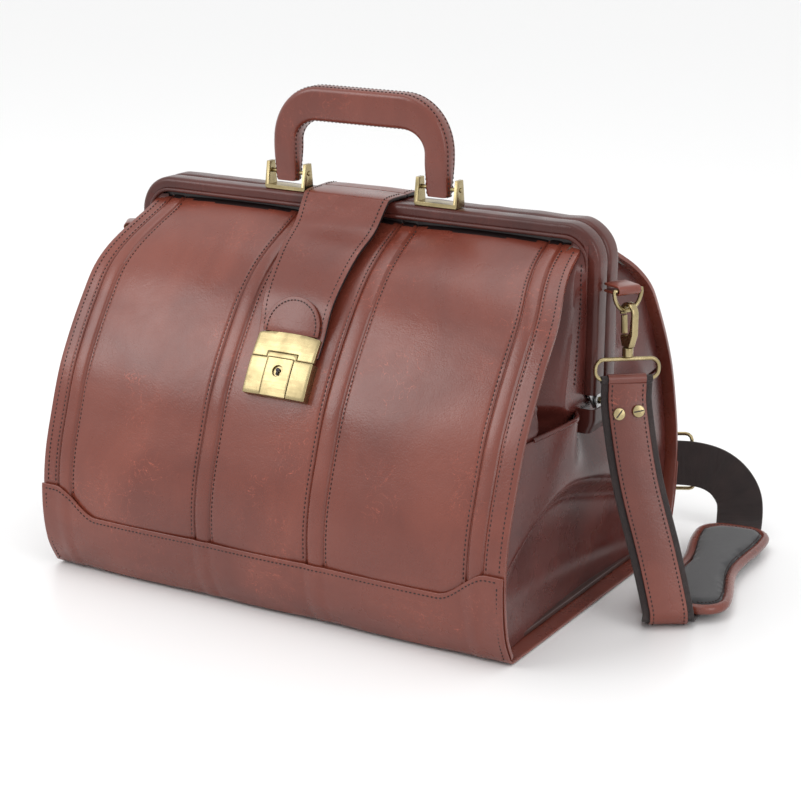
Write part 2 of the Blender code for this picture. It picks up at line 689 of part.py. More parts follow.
# ---- lock ----
def lock():
    half = LOCK_WIDTH / 2
    tab = LOCK_TAB_W / 2
    outline = [(-half, -LOCK_DROP), (half, -LOCK_DROP), (half, LOCK_RISE), (tab, LOCK_RISE),
               (tab, LOCK_RISE + LOCK_TAB_H), (-tab, LOCK_RISE + LOCK_TAB_H), (-tab, LOCK_RISE),
               (-half, LOCK_RISE)]
    case = slab("lock_case", outline, 0, LOCK_T, LOCK, BRASS)
    side = SLIDE_WIDTH / 2
    floor = LOCK_T - SLIDE_T - GAP
    channel = [(-side - GAP, -LOCK_DROP - 0.01), (side + GAP, -LOCK_DROP - 0.01),
               (side + GAP, LOCK_RISE + GAP), (-side - GAP, LOCK_RISE + GAP)]
    cut(case, slab("lock_channel", channel, floor, LOCK_T + 0.01, LOCK, BRASS))
    plate = [(-side, -LOCK_DROP), (side, -LOCK_DROP), (side, LOCK_RISE), (-side, LOCK_RISE)]
    slide = slab("lock_slide", plate, floor + GAP, LOCK_T, LOCK, BRASS)
    key_y = LOCK_RISE - 0.0095
    seat = [LOCK @ Vector((0, key_y, h)) for h in (floor - 0.002, LOCK_T + 0.01)]
    cut(slide, rod("cylinder_seat", *seat, CYLINDER_R + PIN_CLEARANCE, BRASS, 24))
    ends = [LOCK @ Vector((0, key_y, h)) for h in (floor + GAP, LOCK_T - 0.0002)]
    barrel = rod("lock_cylinder", *ends, CYLINDER_R, BRASS, 24)
    key = [(-KEY_SLOT_W / 2, key_y - 0.0030), (KEY_SLOT_W / 2, key_y - 0.0030),
           *arc((0, key_y + 0.0006), 0.0013, -50, 230, 8)]
    cut(barrel, slab("key_slot", key, LOCK_T - 0.0018, LOCK_T + 0.01, LOCK, BRASS))
    washer = rounded_box(half - 0.008, 0.010, 0.003, 3)
    slab("lock_back_plate", washer, -PANEL_T - 0.0012 - 0.0022, -PANEL_T - 0.0012 - 0.0006, LOCK, STEEL)


# ---- strap hardware ----
def ring_frame(hand):
    """x along the ring's bar, y towards the bag's end, z up, at the middle of the bar."""
    bar = Vector((math.sin(RING_TURN), math.cos(RING_TURN), 0))
    out = Vector((math.cos(RING_TURN), -math.sin(RING_TURN), 0))
    made = Matrix(((bar.x, out.x, 0, RING_X), (bar.y, out.y, 0, RING_Y), (0, 0, 1, RING_Z), (0, 0, 0, 1)))
    return made if hand > 0 else Matrix.Diagonal((-1, 1, 1, 1)) @ made


def strap_hardware(hand, side_name):
    frame = ring_frame(hand)
    half = RING_WIDTH / 2 - RING_WIRE_R
    drop = RING_DROP - RING_WIRE_R
    bow = [(half * math.cos(math.pi * k / 12), -drop * math.sin(math.pi * k / 12)) for k in range(13)]
    points = [frame @ Vector((x, 0, z)) for x, z in bow]
    wire(f"d_ring_{side_name}", points, RING_WIRE_R, BRASS)

    inner = RING_WIRE_R + GAP
    outer = inner + TAB_LOOP_T
    reach = RING_X - LENGTH / 2 - JAW_OUT - TAB_LOOP_W / 2 * math.sin(RING_TURN) - 2 * GAP
    tongue = -reach / math.cos(RING_TURN)
    loop = [*arc((0, 0), outer, 90, -90, 8), (tongue, -outer), (tongue, -inner + 0.0004), (0, -inner),
            *arc((0, 0), inner, -90, 90, 8), (tongue, inner - 0.0004), (tongue, outer)]
    width = TAB_LOOP_W / 2
    turn = Matrix(((0, 0, 1, 0), (1, 0, 0, 0), (0, 1, 0, 0), (0, 0, 0, 1)))
    slab(f"ring_tab_{side_name}", loop, -width, width, frame @ turn, LEATHER)

    hook_top = -drop - RING_WIRE_R
    foot = -HOOK_DROP + LOOP_WIRE_R + HOOK_NECK
    bend = HOOK_WIDTH / 2
    spine = bend - HOOK_BAR
    bight = spine + 0.0012
    tip = 195
    outer_arc = arc((0, hook_top), bend, 0, tip, 12)
    inner_arc = arc((0, hook_top), bight, tip, 0, 12)
    outline = [(spine, foot + 0.012), *inner_arc[::-1], *outer_arc[::-1], (bend, foot + 0.010),
               (0.0045, foot), (-0.0045, foot), (-0.0065, foot + 0.006), (-0.0062, foot + 0.0085),
               (0.001, foot + 0.0085)]
    side = Matrix(((0, 0, 1, 0), (1, 0, 0, 0), (0, 1, 0, 0), (0, 0, 0, 1)))
    hook = frame @ Matrix.Translation((0, HOOK_SHIFT, 0))
    slab(f"snap_hook_{side_name}", outline, -HOOK_T / 2, HOOK_T / 2, hook @ side, BRASS)
    gate_low = foot + 0.0085 + 2 * GAP
    gate_top = hook_top + bight * math.sin(math.radians(tip)) - 3 * GAP
    gate = [(-0.0062, gate_low), (-0.0036, gate_low), (-0.0048, gate_top), (-0.0070, gate_top)]
    slab(f"hook_gate_{side_name}", gate, -HOOK_T * 0.4, HOOK_T * 0.4, hook @ side, BRASS)

    axis = hook @ Vector((0, 0, 0))
    hang = Matrix(((math.cos(HANG_TURN), 0, math.sin(HANG_TURN), 0),
                   (math.sin(HANG_TURN), 0, -math.cos(HANG_TURN), 0), (0, 1, 0, 0), (0, 0, 0, 1)))
    if hand < 0:
        hang = Matrix.Diagonal((-1, 1, 1, 1)) @ hang
    hang = Matrix.Translation((axis.x, axis.y, RING_Z - HOOK_DROP)) @ hang
    eye = rounded_box(LOOP_WIDTH / 2 - LOOP_WIRE_R, LOOP_HEIGHT / 2 - LOOP_WIRE_R, 0.0065, 4)
    points = [hang @ Vector((x, y - LOOP_HEIGHT / 2 + LOOP_WIRE_R, 0)) for x, y in eye]
    wire(f"swivel_loop_{side_name}", points, LOOP_WIRE_R, BRASS)
    post_top = RING_Z + foot - GAP
    post_low = RING_Z - HOOK_DROP + LOOP_WIRE_R + GAP
    rod(f"swivel_barrel_{side_name}", (axis.x, axis.y, post_low), (axis.x, axis.y, post_top),
        0.0040, BRASS, 16)


# ---- shoulder strap ----
def smooth_route():
    """Places and width directions on a smooth curve through the route."""
    places = [Vector(p) for p, _ in ROUTE]
    widths = [Vector(w).normalized() for _, w in ROUTE]
    ends = [places[0] * 2 - places[1], *places, places[-1] * 2 - places[-2]]
    out = []
    for k in range(len(places) - 1):
        a, b, c, d = ends[k:k + 4]
        for step in range(ROUTE_STEPS):
            t = step / ROUTE_STEPS
            place = ((2 * b) + (c - a) * t + (2 * a - 5 * b + 4 * c - d) * t * t
                     + (3 * b - a - 3 * c + d) * t ** 3) / 2
            out.append((place, widths[k].lerp(widths[k + 1], smoothstep(t))))
    out.append((places[-1], widths[-1]))
    return out


def band(name, start, end, width, thickness, lift, look):
    """A flat band along the route between two lengths, lifted off the route's middle."""
    route = smooth_route()
    rows, length = [], 0.0
    for k, (place, across) in enumerate(route):
        before, after = route[max(0, k - 1)][0], route[min(len(route) - 1, k + 1)][0]
        if k:
            length += (place - before).length
        if not start <= length <= end:
            continue
        ahead = (after - before).normalized()
        across = (across - ahead * across.dot(ahead)).normalized()
        out = ahead.cross(across)
        w, low, high = across * (width / 2), out * (lift - thickness / 2), out * (lift + thickness / 2)
        rows.append([place - w + low, place + w + low, place + w + high, place - w + high])
    return sweep(name, rows, look)


def route_frame(goal):
    """x across the strap, y along it, z out of it, at a length along the route."""
    route = smooth_route()
    length = 0.0
    for k in range(1, len(route)):
        step = (route[k][0] - route[k - 1][0]).length
        if length + step >= goal or k == len(route) - 1:
            ahead = (route[k][0] - route[k - 1][0]).normalized()
            place = route[k - 1][0] + ahead * (goal - length)
            across = (route[k][1] - ahead * route[k][1].dot(ahead)).normalized()
            out = ahead.cross(across)
            return Matrix(((across.x, ahead.x, out.x, place.x), (across.y, ahead.y, out.y, place.y),
                           (across.z, ahead.z, out.z, place.z), (0, 0, 0, 1)))
        length += step
    return Matrix.Identity(4)


def screws(first, frame, low, high):
    for k, side in enumerate((-1, 1)):
        x = side * SCREW_SPACING / 2
        rod(f"strap_screw_{first + k}", frame @ Vector((x, 0, low)), frame @ Vector((x, 0, high)),
            SCREW_R, BRASS, 20)


def shoulder_strap():
    band("shoulder_strap", 0.0, 9.0, STRAP_WIDTH, STRAP_T, 0.0, WEBBING)
    lift = (STRAP_T + OVERLAY_T) / 2 + 3 * GAP
    band("strap_leather_front", 0.0, OVERLAY_END, OVERLAY_WIDTH, OVERLAY_T, lift, LEATHER)
    band("strap_leather_rear", *REAR_TAB, OVERLAY_WIDTH, OVERLAY_T, lift, DARK_LEATHER)
    face = lift + OVERLAY_T / 2 + GAP
    screws(1, route_frame(0.021), face, face + 0.0016)
    screws(3, route_frame(REAR_TAB[0] + 0.030), -STRAP_T / 2 - GAP - 0.0014, -STRAP_T / 2 - GAP)
    frame = route_frame(REAR_TAB[0] + 0.004)
    level = face + BUCKLE_WIRE_R + GAP
    eye = rounded_box(BUCKLE_WIDTH / 2, BUCKLE_LENGTH / 2, 0.005, 3)
    wire("buckle_frame", [frame @ Vector((x, y, level)) for x, y in eye], BUCKLE_WIRE_R, BRASS)
    prong_level = level + 2 * BUCKLE_WIRE_R + GAP
    reach = BUCKLE_LENGTH / 2 + 0.002
    ends = [frame @ Vector((0, y, prong_level)) for y in (-reach, reach)]
    rod("buckle_prong", *ends, 0.0013, BRASS, 12)


def shoulder_pad():
    """The contoured pad, felt side up, lying on the strap."""
    near, waist, far = PAD_NEAR / 2, PAD_WAIST / 2, PAD_FAR / 2
    corner = 0.020
    bottom = arc((near - corner, corner), corner, -90, 0, 4)
    top = arc((far - corner, PAD_LENGTH - corner), corner, 0, 90, 4)
    middle = []
    for k in range(1, 10):
        y = corner + (PAD_LENGTH - 2 * corner) * k / 10
        wide = near + (far - near) * k / 10
        pinch = math.sin(math.pi * k / 10) ** 2
        middle.append((wide + (waist - wide) * pinch, y))
    half = bottom + middle + top
    outline = half + [(-x, y) for x, y in reversed(half)]
    frame = (Matrix.Translation((*PAD_START, 0)) @ Matrix.Rotation(PAD_DIRECTION, 4, "Z"))
    low = ROUTE[8][0][2] + STRAP_T / 2 + 0.0010
    slab("shoulder_pad", outline, low, low + PAD_T, frame, FELT)


def build():
    clear_scene()
    shell_and_base()
    inner_pocket()
    jaw("front", -1)
    jaw("back", 1)
    hinge(1, "right")
    hinge(-1, "left")
    handle_post(1, "right")
    handle_post(-1, "left")
    handle()
    flap()
    hasp()
    lock()
    strap_hardware(1, "right")
    strap_hardware(-1, "left")
    shoulder_strap()
    shoulder_pad()


build()
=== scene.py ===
"""Looks of the leather doctor bag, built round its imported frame. Metres, +Z up, the lock faces -Y."""
import json
import math

import bmesh
import bpy
from mathutils import Matrix, Vector, noise


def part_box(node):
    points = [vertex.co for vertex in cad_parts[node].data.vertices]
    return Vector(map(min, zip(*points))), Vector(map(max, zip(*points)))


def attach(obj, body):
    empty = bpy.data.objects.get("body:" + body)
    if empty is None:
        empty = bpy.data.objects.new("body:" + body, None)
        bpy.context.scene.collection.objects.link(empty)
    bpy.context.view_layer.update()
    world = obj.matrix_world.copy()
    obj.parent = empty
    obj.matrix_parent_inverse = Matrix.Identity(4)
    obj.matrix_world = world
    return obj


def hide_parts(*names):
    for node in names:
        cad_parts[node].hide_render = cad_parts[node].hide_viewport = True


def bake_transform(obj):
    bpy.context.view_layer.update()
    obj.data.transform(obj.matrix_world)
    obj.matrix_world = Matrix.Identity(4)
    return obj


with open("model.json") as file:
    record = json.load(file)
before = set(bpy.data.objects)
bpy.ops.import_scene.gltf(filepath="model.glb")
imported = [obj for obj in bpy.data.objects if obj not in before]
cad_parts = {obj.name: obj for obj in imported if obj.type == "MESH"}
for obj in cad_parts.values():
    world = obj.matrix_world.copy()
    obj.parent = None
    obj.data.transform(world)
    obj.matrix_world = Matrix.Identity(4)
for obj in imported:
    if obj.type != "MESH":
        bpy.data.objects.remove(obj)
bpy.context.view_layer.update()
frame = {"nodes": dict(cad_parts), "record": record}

# ---- sizes that the frame gives ----
HALF_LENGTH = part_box("base_wrap")[1][0]
TOP_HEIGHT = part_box("front_jaw_cover")[1][2]
BODY, BACK_JAW = "bag_body", "back_jaw"

# ---- sizes of the shell ----
HALF_DEPTH = 0.145
BULGE = 0.006
JAW_Y = 0.004
JAW_DEPTH = 0.0175
JAW_HEIGHT = 0.011
JAW_PARTING = 0.0010
JAW_RADIUS = 0.028
JAW_OUT = 0.001
MOUTH_GAP = 0.0065
HINGE_Z = 0.158
HINGE_EYE_R = 0.0068
PANEL_T = 0.0030
COVER_T = 0.0018
COVER_MIDDLE = 0.050
COVER_CORNER = 0.070
COVER_SHOULDER = 0.013
COVER_DROP = 0.038
FOOT = 0.0045
GUSSET_T = 0.0024
EDGE_INSET = 0.009  # gusset face behind the welts
TOP_TAPER = 0.014  # wall's half length lost on the way up to the mouth
TOP_TUCK = 0.0045  # wall's top edge stepped back under the jaw
PANEL_FILL = 0.0022
SEAM_CROWN = 0.0013
COVER_FILL = 0.0010
COVER_LIFT = 0.0008
SEAMS = ((-0.186, -0.174), (-0.058, -0.045), (0.040, 0.054), (0.171, 0.183))
LEFT_ROW, RIGHT_ROW = 0.0028, 0.0024  # stitch rows beside a seam strip
EDGE_ROW = 0.0042  # stitch row inside the edge of a wall or of the flap
STITCH_PITCH = 0.0034
STITCH_LENGTH = 0.0022
STITCH_RADIUS = 0.00052

# ---- gussets: the bulge's upper line, how far it stands out, and the folds ----
RIDGE_LOW, RIDGE_RISE, RIDGE_LEAN = 0.044, 0.050, 0.012
BULGE_SUNK, BULGE_LEDGE = 0.0085, 0.0180
LEG_PINCH = 0.0145
FRONT_PLEAT, BACK_PLEAT = 0.024, 0.009
LIP_RADIUS = 0.0019
POCKET_T = 0.0014
POCKET_DEEP = 0.020
POCKET_CORNER, POCKET_RADIUS = (0.1990, -0.0145), 0.0040

# ---- jaw leather ----
JAW_EASE = 0.0040
WELT_RADIUS, WELT_IN = 0.0016, 0.0012

# ---- where the back of the bag bends as the mouth opens ----
BEND_START = (0.0, 0.125, 0.165)
BEND_END = (0.0, 0.030, 0.200)

# ---- handle ----
POST_X = 0.066
HANDLE_Y = JAW_Y - JAW_PARTING / 2 - JAW_DEPTH / 2
HANDLE_PIN_Z = TOP_HEIGHT + 0.0135
HANDLE_TOP = 0.372
HANDLE_LEG = 0.0200
HANDLE_GRIP = 0.0270
HANDLE_DEPTH = 0.0175
HANDLE_BEND = 0.030
HANDLE_EASE = 0.0050
HANDLE_FOOT = 0.0062  # leather below the pin
HANDLE_SEAM = 0.52  # seam's place as a share of half the depth
HANDLE_RIB = 0.0009

# ---- flap and lock ----
FLAP_TOP_WIDTH = 0.078
FLAP_END_WIDTH = 0.054
FLAP_T = 0.0030
FLAP_SHIFT = -0.008
FLAP_STANDOFF = 0.0075
FLAP_PIVOT_Y = JAW_Y + 0.004
FLAP_Z = TOP_HEIGHT + 0.0003 + FLAP_T
LOCK_Z = 0.180
LOCK_END = 0.0101  # flap's end above the lock's middle
HASP_TOP = 0.0230
FLAP_ON_WALL = (0.965, 0.920, 0.865, 0.805)  # shares of the mouth's height
TAB_WIDTH, TAB_HEIGHT, TAB_T = 0.047, 0.029, 0.0016
TAB_ROW, TAB_PITCH = 0.0030, 0.0028
LOCK_CROWN = 0.0022
LOCK_HALF_WIDTH, LOCK_HALF_HEIGHT = 0.0265, 0.026
KEYHOLE = (0, -0.0043, 0.0090)
KEYHOLE_PROUD, KEYHOLE_T = 0.0008, 0.0009

# ---- strap hardware ----
RING_X, RING_Y, RING_Z = 0.2205, -0.0060, 0.2455
RING_TURN = math.radians(30.0)
RING_WIDTH = 0.027
RING_DROP = 0.0165
RING_WIRE_R = 0.00155
HOOK_DROP = 0.0500
HOOK_SHIFT = 0.0025
HANG_TURN = math.radians(40.0)
LOOP_WIDTH, LOOP_HEIGHT, LOOP_WIRE_R = 0.050, 0.0180, 0.0015
LOOP_CORNER = 0.0065
TURN_TAIL, TURN_PINCH = 0.0028, 0.0011  # the strap's turned end, past the bar and drawn in
SLOT_HALF, SLOT_DEEP, SLOT_REACH = 0.0005, 0.0006, 0.26

# ---- strap: place, and which way its width points ----
STRAP_WIDTH = 0.038
STRAP_T = 0.0022
OVERLAY_WIDTH = 0.028
OVERLAY_T = 0.0014
OVERLAY_END = 0.250
OVERLAY_GAP = 0.0006
STRAP_ROW = 0.0026
REAR_TAB = (0.480, 0.570)
ROUTE = [
    ((0.2230, -0.0075, 0.1775), (0.77, 0.64, 0.00)),
    ((0.2252, -0.0101, 0.1580), (0.77, 0.64, 0.00)),
    ((0.2370, -0.0135, 0.1080), (0.77, 0.64, 0.00)),
    ((0.2540, -0.0145, 0.0550), (0.77, 0.64, 0.00)),
    ((0.2645, -0.0160, 0.0200), (0.77, 0.64, 0.00)),
    ((0.2664, -0.0158, 0.0100), (0.79, 0.61, 0.00)),
    ((0.2645, -0.0110, 0.0049), (0.84, 0.54, 0.00)),
    ((0.2615, 0.0020, 0.0036), (0.93, 0.37, 0.00)),
    ((0.2590, 0.0450, 0.0036), (0.99, 0.14, 0.00)),
    ((0.2530, 0.1000, 0.0036), (0.99, 0.14, 0.00)),
    ((0.2440, 0.1600, 0.0036), (0.99, 0.14, 0.00)),
    ((0.2400, 0.1880, 0.0034), (0.99, 0.14, 0.00)),
    ((0.2365, 0.2040, 0.0105), (0.93, 0.24, 0.20)),
    ((0.2320, 0.2110, 0.0290), (0.72, 0.25, 0.60)),
    ((0.2180, 0.2110, 0.0450), (0.38, 0.18, 0.88)),
    ((0.1950, 0.2100, 0.0510), (0.12, 0.08, 0.99)),
    ((0.1600, 0.2050, 0.0480), (-0.02, 0.02, 1.00)),
    ((0.1100, 0.2000, 0.0360), (-0.08, 0.00, 1.00)),
    ((0.0500, 0.1960, 0.0240), (-0.08, 0.00, 1.00)),
    ((-0.0150, 0.1940, 0.0200), (0.00, 0.00, 1.00)),
    ((-0.0800, 0.1930, 0.0215), (0.05, 0.00, 1.00)),
    ((-0.1400, 0.1880, 0.0320), (0.20, -0.05, 0.98)),
    ((-0.1980, 0.1770, 0.0540), (0.25, -0.10, 0.95)),
    ((-0.2330, 0.1420, 0.0800), (0.05, -0.15, 0.97)),
    ((-0.2460, 0.0850, 0.1020), (-0.12, 0.20, 0.93)),
    ((-0.2400, 0.0330, 0.1180), (-0.45, 0.55, 0.62)),
    ((-0.2262, -0.0020, 0.1440), (-0.74, 0.64, 0.12)),
    ((-0.2230, -0.0070, 0.1620), (-0.77, 0.64, 0.00)),
    ((-0.2230, -0.0075, 0.1772), (-0.77, 0.64, 0.00)),
]
ROUTE_STEPS = 10

# ---- shoulder pad ----
PAD_LENGTH = 0.186
PAD_NEAR, PAD_WAIST, PAD_FAR = 0.062, 0.042, 0.056
PAD_T = 0.009
PAD_START = (0.2665, 0.005)
PAD_DIRECTION = math.radians(8.0)
PAD_LOW = 0.0054
PAD_CORNER = 0.020
PAD_EASE = 0.0022  # cushion starts this much thinner above and below
PAD_SWELL = 0.0022  # furthest that a point may move as it swells
PAD_VOXEL = 0.0030
PAD_INSET = 0.0030
PAD_RIM_R, PAD_RIM_IN, PAD_RIM_Z = 0.0038, 0.0016, 0.0040
PAD_SEAM_IN, PAD_SEAM_Z, PAD_PITCH = 0.0058, 0.0079, 0.0030

# ---- camera ----
VIEW_TURN = math.radians(29.86)
VIEW_RISE = math.radians(16.21)
VIEW_ROLL = math.radians(0.47)
VIEW_DISTANCE = 1.600
VIEW_TARGET = (0.0314, 0.0, 0.1339)
VIEW_LENS = 93.22


def smoothstep(t):
    t = min(1.0, max(0.0, t))
    return t * t * (3 - 2 * t)


# ---- materials ----
class Nodes:
    """A small writer of shader nodes for one material."""

    def __init__(self, name):
        self.material = bpy.data.materials.new(name)
        self.material.use_nodes = True
        self.tree = self.material.node_tree
        self.shader = self.tree.nodes["Principled BSDF"]
        self.coordinates = self.tree.nodes.new("ShaderNodeTexCoord")

    def link(self, source, target):
        self.tree.links.new(source, target)

    def new(self, kind, **settings):
        node = self.tree.nodes.new(kind)
        for key, value in settings.items():
            if key in node.inputs:
                node.inputs[key].default_value = value
            else:
                setattr(node, key, value)
        return node

    def place(self, scale):
        mapping = self.new("ShaderNodeMapping", Scale=scale)
        self.link(self.coordinates.outputs["Object"], mapping.inputs["Vector"])
        return mapping.outputs["Vector"]

    def noise(self, scale, detail=4.0, roughness=0.5, distortion=0.0, at=None):
        node = self.new("ShaderNodeTexNoise", Scale=scale, Detail=detail, Roughness=roughness,
                        Distortion=distortion)
        self.link(at or self.coordinates.outputs["Object"], node.inputs["Vector"])
        return node.outputs["Fac"]

    def voronoi(self, scale, feature="F1", at=None):
        node = self.new("ShaderNodeTexVoronoi", feature=feature, Scale=scale)
        self.link(at or self.coordinates.outputs["Object"], node.inputs["Vector"])
        return node.outputs["Distance"]

    def ramp(self, factor, stops):
        node = self.new("ShaderNodeValToRGB")
        while len(node.color_ramp.elements) < len(stops):
            node.color_ramp.elements.new(0.5)
        for element, (place, colour) in zip(node.color_ramp.elements, stops):
            element.position = place
            element.color = (*colour, 1) if isinstance(colour, tuple) else (colour, colour, colour, 1)
        self.link(factor, node.inputs["Fac"])
        return node.outputs["Color"]

    def mix(self, factor, first, second):
        node = self.new("ShaderNodeMix", data_type="RGBA", blend_type="MIX")
        for socket, value in zip((0, 6, 7), (factor, first, second)):
            if isinstance(value, (int, float)):
                node.inputs[socket].default_value = value
            elif isinstance(value, tuple):
                node.inputs[socket].default_value = (*value, 1)
            else:
                self.link(value, node.inputs[socket])
        return node.outputs[2]

    def maths(self, operation, first, second):
        node = self.new("ShaderNodeMath", operation=operation)
        for socket, value in zip((0, 1), (first, second)):
            if isinstance(value, (int, float)):
                node.inputs[socket].default_value = value
            else:
                self.link(value, node.inputs[socket])
        return node.outputs[0]

    def bump(self, height, distance, strength=1.0, after=None):
        node = self.new("ShaderNodeBump", Distance=distance, Strength=strength)
        self.link(height, node.inputs["Height"])
        if after:
            self.link(after, node.inputs["Normal"])
        return node.outputs["Normal"]

    def set(self, **values):
        for key, value in values.items():
            socket = self.shader.inputs[key.replace("_", " ")]
            if isinstance(value, (int, float)):
                socket.default_value = value
            elif isinstance(value, tuple):
                socket.default_value = (*value, 1)
            else:
                self.link(value, socket)
        return self.material


def leather(name, dark, middle, light, gloss=0.25, coat=0.10, wrinkle=0.7, shine=0.5):
    """Waxed hide: clouded colour, hairline scuffs, pores and a fine net of creases."""
    n = Nodes(name)
    clouds = n.noise(11.0, 5.0, 0.55, 0.6)
    colour = n.ramp(clouds, [(0.28, dark), (0.50, middle), (0.74, light)])
    streak = n.noise(30.0, 6.0, 0.6, 1.2, n.place((1.0, 1.0, 0.35)))
    colour = n.mix(n.ramp(streak, [(0.50, 0.0), (0.80, 0.35)]), colour, light)
    scuff = n.noise(46.0, 3.0, 0.5, 3.2)
    hairline = n.ramp(scuff, [(0.494, 0.0), (0.500, 0.65), (0.506, 0.0)])
    broken = n.maths("MULTIPLY", hairline, n.ramp(n.noise(22.0, 2.0), [(0.52, 0.0), (0.64, 1.0)]))
    colour = n.mix(broken, colour, tuple(min(1.0, c * 2.6) for c in light))
    rough = n.ramp(n.noise(26.0, 5.0, 0.6), [(0.25, gloss - 0.05), (0.75, gloss + 0.13)])
    pores = n.voronoi(780.0)
    net = n.voronoi(240.0, "DISTANCE_TO_EDGE", n.place((1.0, 1.0, 1.3)))
    creases = n.ramp(net, [(0.0, 0.0), (0.12, 1.0)])
    normal = n.bump(n.noise(38.0, 4.0, 0.55, 0.8), 0.0012, 0.35 * wrinkle)
    normal = n.bump(creases, 0.00012, 0.25 * wrinkle, normal)
    normal = n.bump(pores, 0.00012, 0.30, normal)
    return n.set(Base_Color=colour, Roughness=rough, Normal=normal, Coat_Weight=coat, Coat_Roughness=0.22,
                 Specular_IOR_Level=shine)


def antique_brass(name, base, dark, gloss=0.30):
    """Satin plated metal with a fine brushed line and browned patches."""
    n = Nodes(name)
    stain = n.noise(55.0, 4.0, 0.6, 0.5)
    colour = n.mix(n.ramp(stain, [(0.42, 0.0), (0.78, 0.55)]), base, dark)
    brushed = n.noise(420.0, 2.0, 0.5, 0.0, n.place((0.06, 1.0, 1.0)))
    rough = n.ramp(n.maths("ADD", n.maths("MULTIPLY", stain, 0.5), n.maths("MULTIPLY", brushed, 0.5)),
                   [(0.30, gloss - 0.06), (0.75, gloss + 0.14)])
    normal = n.bump(brushed, 0.00004, 0.5)
    return n.set(Base_Color=colour, Metallic=1.0, Roughness=rough, Normal=normal)


def woven(name, thread, shade):
    """Tight webbing: ribs across the strap's own length and width."""
    n = Nodes(name)
    warp = n.new("ShaderNodeTexWave", wave_type="BANDS", bands_direction="X", Scale=420.0, Distortion=0.4)
    weft = n.new("ShaderNodeTexWave", wave_type="BANDS", bands_direction="Y", Scale=300.0, Distortion=0.4)
    for wave in (warp, weft):
        n.link(n.coordinates.outputs["UV"], wave.inputs["Vector"])
    cloth = n.maths("MULTIPLY", warp.outputs["Fac"], weft.outputs["Fac"])
    colour = n.mix(cloth, shade, thread)
    worn = n.ramp(n.noise(60.0, 4.0), [(0.4, 0.0), (0.8, 0.25)])
    colour = n.mix(worn, colour, tuple(c * 1.8 for c in thread))
    return n.set(Base_Color=colour, Roughness=0.85, Normal=n.bump(cloth, 0.0003, 0.8), Sheen_Weight=0.15)


def felt(name, base, light):
    n = Nodes(name)
    fuzz = n.noise(620.0, 6.0, 0.75, 1.0)
    patch = n.noise(24.0, 4.0, 0.6)
    colour = n.mix(n.ramp(patch, [(0.35, 0.0), (0.75, 0.5)]), base, light)
    colour = n.mix(n.ramp(fuzz, [(0.35, 0.0), (0.70, 0.4)]), colour, light)
    return n.set(Base_Color=colour, Roughness=0.95, Normal=n.bump(fuzz, 0.0005, 0.7), Sheen_Weight=0.35)


def plain(name, base, roughness, speckle=0.15):
    n = Nodes(name)
    grain = n.noise(180.0, 4.0, 0.6)
    paler = tuple(min(1.0, c * 1.9) for c in base)
    colour = n.mix(n.ramp(grain, [(0.35, 0.0), (0.75, speckle)]), base, paler)
    return n.set(Base_Color=colour, Roughness=roughness, Normal=n.bump(grain, 0.0002, 0.25))


HIDE = leather("chestnut_leather", (0.112, 0.0225, 0.0135), (0.146, 0.0315, 0.0190), (0.192, 0.0460, 0.0280))
SOFT_HIDE = leather("gusset_leather", (0.046, 0.0095, 0.0080), (0.074, 0.0155, 0.0120),
                    (0.110, 0.0250, 0.0190), 0.22, 0.06, 0.4, 0.32)
JAW_HIDE = leather("jaw_leather", (0.040, 0.0090, 0.0072), (0.062, 0.0140, 0.0105), (0.094, 0.0220, 0.0160),
                   0.26, 0.06, 0.7, 0.34)
DARK_HIDE = leather("dark_leather", (0.030, 0.0110, 0.0090), (0.045, 0.0170, 0.0130),
                    (0.065, 0.0260, 0.0200), 0.42, 0.1)
# Black edge paint: real paint on the flap's cut edges, and also painted shade on the keyhole, the screw
# slots and the wall strip under the jaws.
EDGE_PAINT_AND_SHADE = plain("edge_paint_and_painted_shade", (0.012, 0.006, 0.006), 0.45)
THREAD = plain("waxed_thread", (0.017, 0.0045, 0.0040), 0.60, speckle=0.4)
BRASS = antique_brass("antique_brass", (0.40, 0.325, 0.175), (0.13, 0.095, 0.045), 0.26)
STEEL = antique_brass("plain_steel", (0.50, 0.50, 0.50), (0.25, 0.25, 0.25), 0.34)
WEBBING = woven("strap_webbing", (0.046, 0.026, 0.024), (0.014, 0.008, 0.008))
FELT = felt("pad_felt", (0.018, 0.0185, 0.020), (0.040, 0.040, 0.044))
LINING = felt("cotton_lining", (0.085, 0.060, 0.045), (0.14, 0.10, 0.075))


# ---- makers ----
def settle(piece):
    """Applies a piece's modifiers."""
    bpy.context.view_layer.update()
    seen = piece.evaluated_get(bpy.context.evaluated_depsgraph_get())
    mesh = bpy.data.meshes.new_from_object(seen)
    piece.modifiers.clear()
    piece.data = mesh
    return piece


def made(name, bm, looks, sharp=35.0):
    mesh = bpy.data.meshes.new(name)
    bm.to_mesh(mesh)
    bm.free()
    piece = bpy.data.objects.new(name, mesh)
    bpy.context.scene.collection.objects.link(piece)
    for look in looks:
        mesh.materials.append(look)
    mesh.shade_smooth()
    mesh.set_sharp_from_angle(angle=math.radians(sharp))
    return piece


def ready(piece, slot, body=BODY, nodes=(), blend=None):
    """Hides the CAD nodes that a finished piece stands for and hangs it on its body, or with blend bakes it
    in place; slot is not used.
    """
    if nodes:
        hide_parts(*nodes)
    if blend:
        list(blend)
        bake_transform(piece)
    else:
        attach(piece, body)
    return piece


def joined(piece, extra):
    """Adds another piece's faces to this one, with their materials."""
    first_look = len(piece.data.materials)
    bm = bmesh.new()
    bm.from_mesh(piece.data)
    first_face = len(bm.faces)
    bm.from_mesh(extra.data)
    bm.faces.ensure_lookup_table()
    for face in bm.faces[first_face:]:
        face.material_index += first_look
    bm.to_mesh(piece.data)
    bm.free()
    for look in extra.data.materials:
        piece.data.materials.append(look)
    bpy.data.objects.remove(extra)
    return piece


BACK_BEND = (BODY, BACK_JAW, BEND_START, BEND_END)


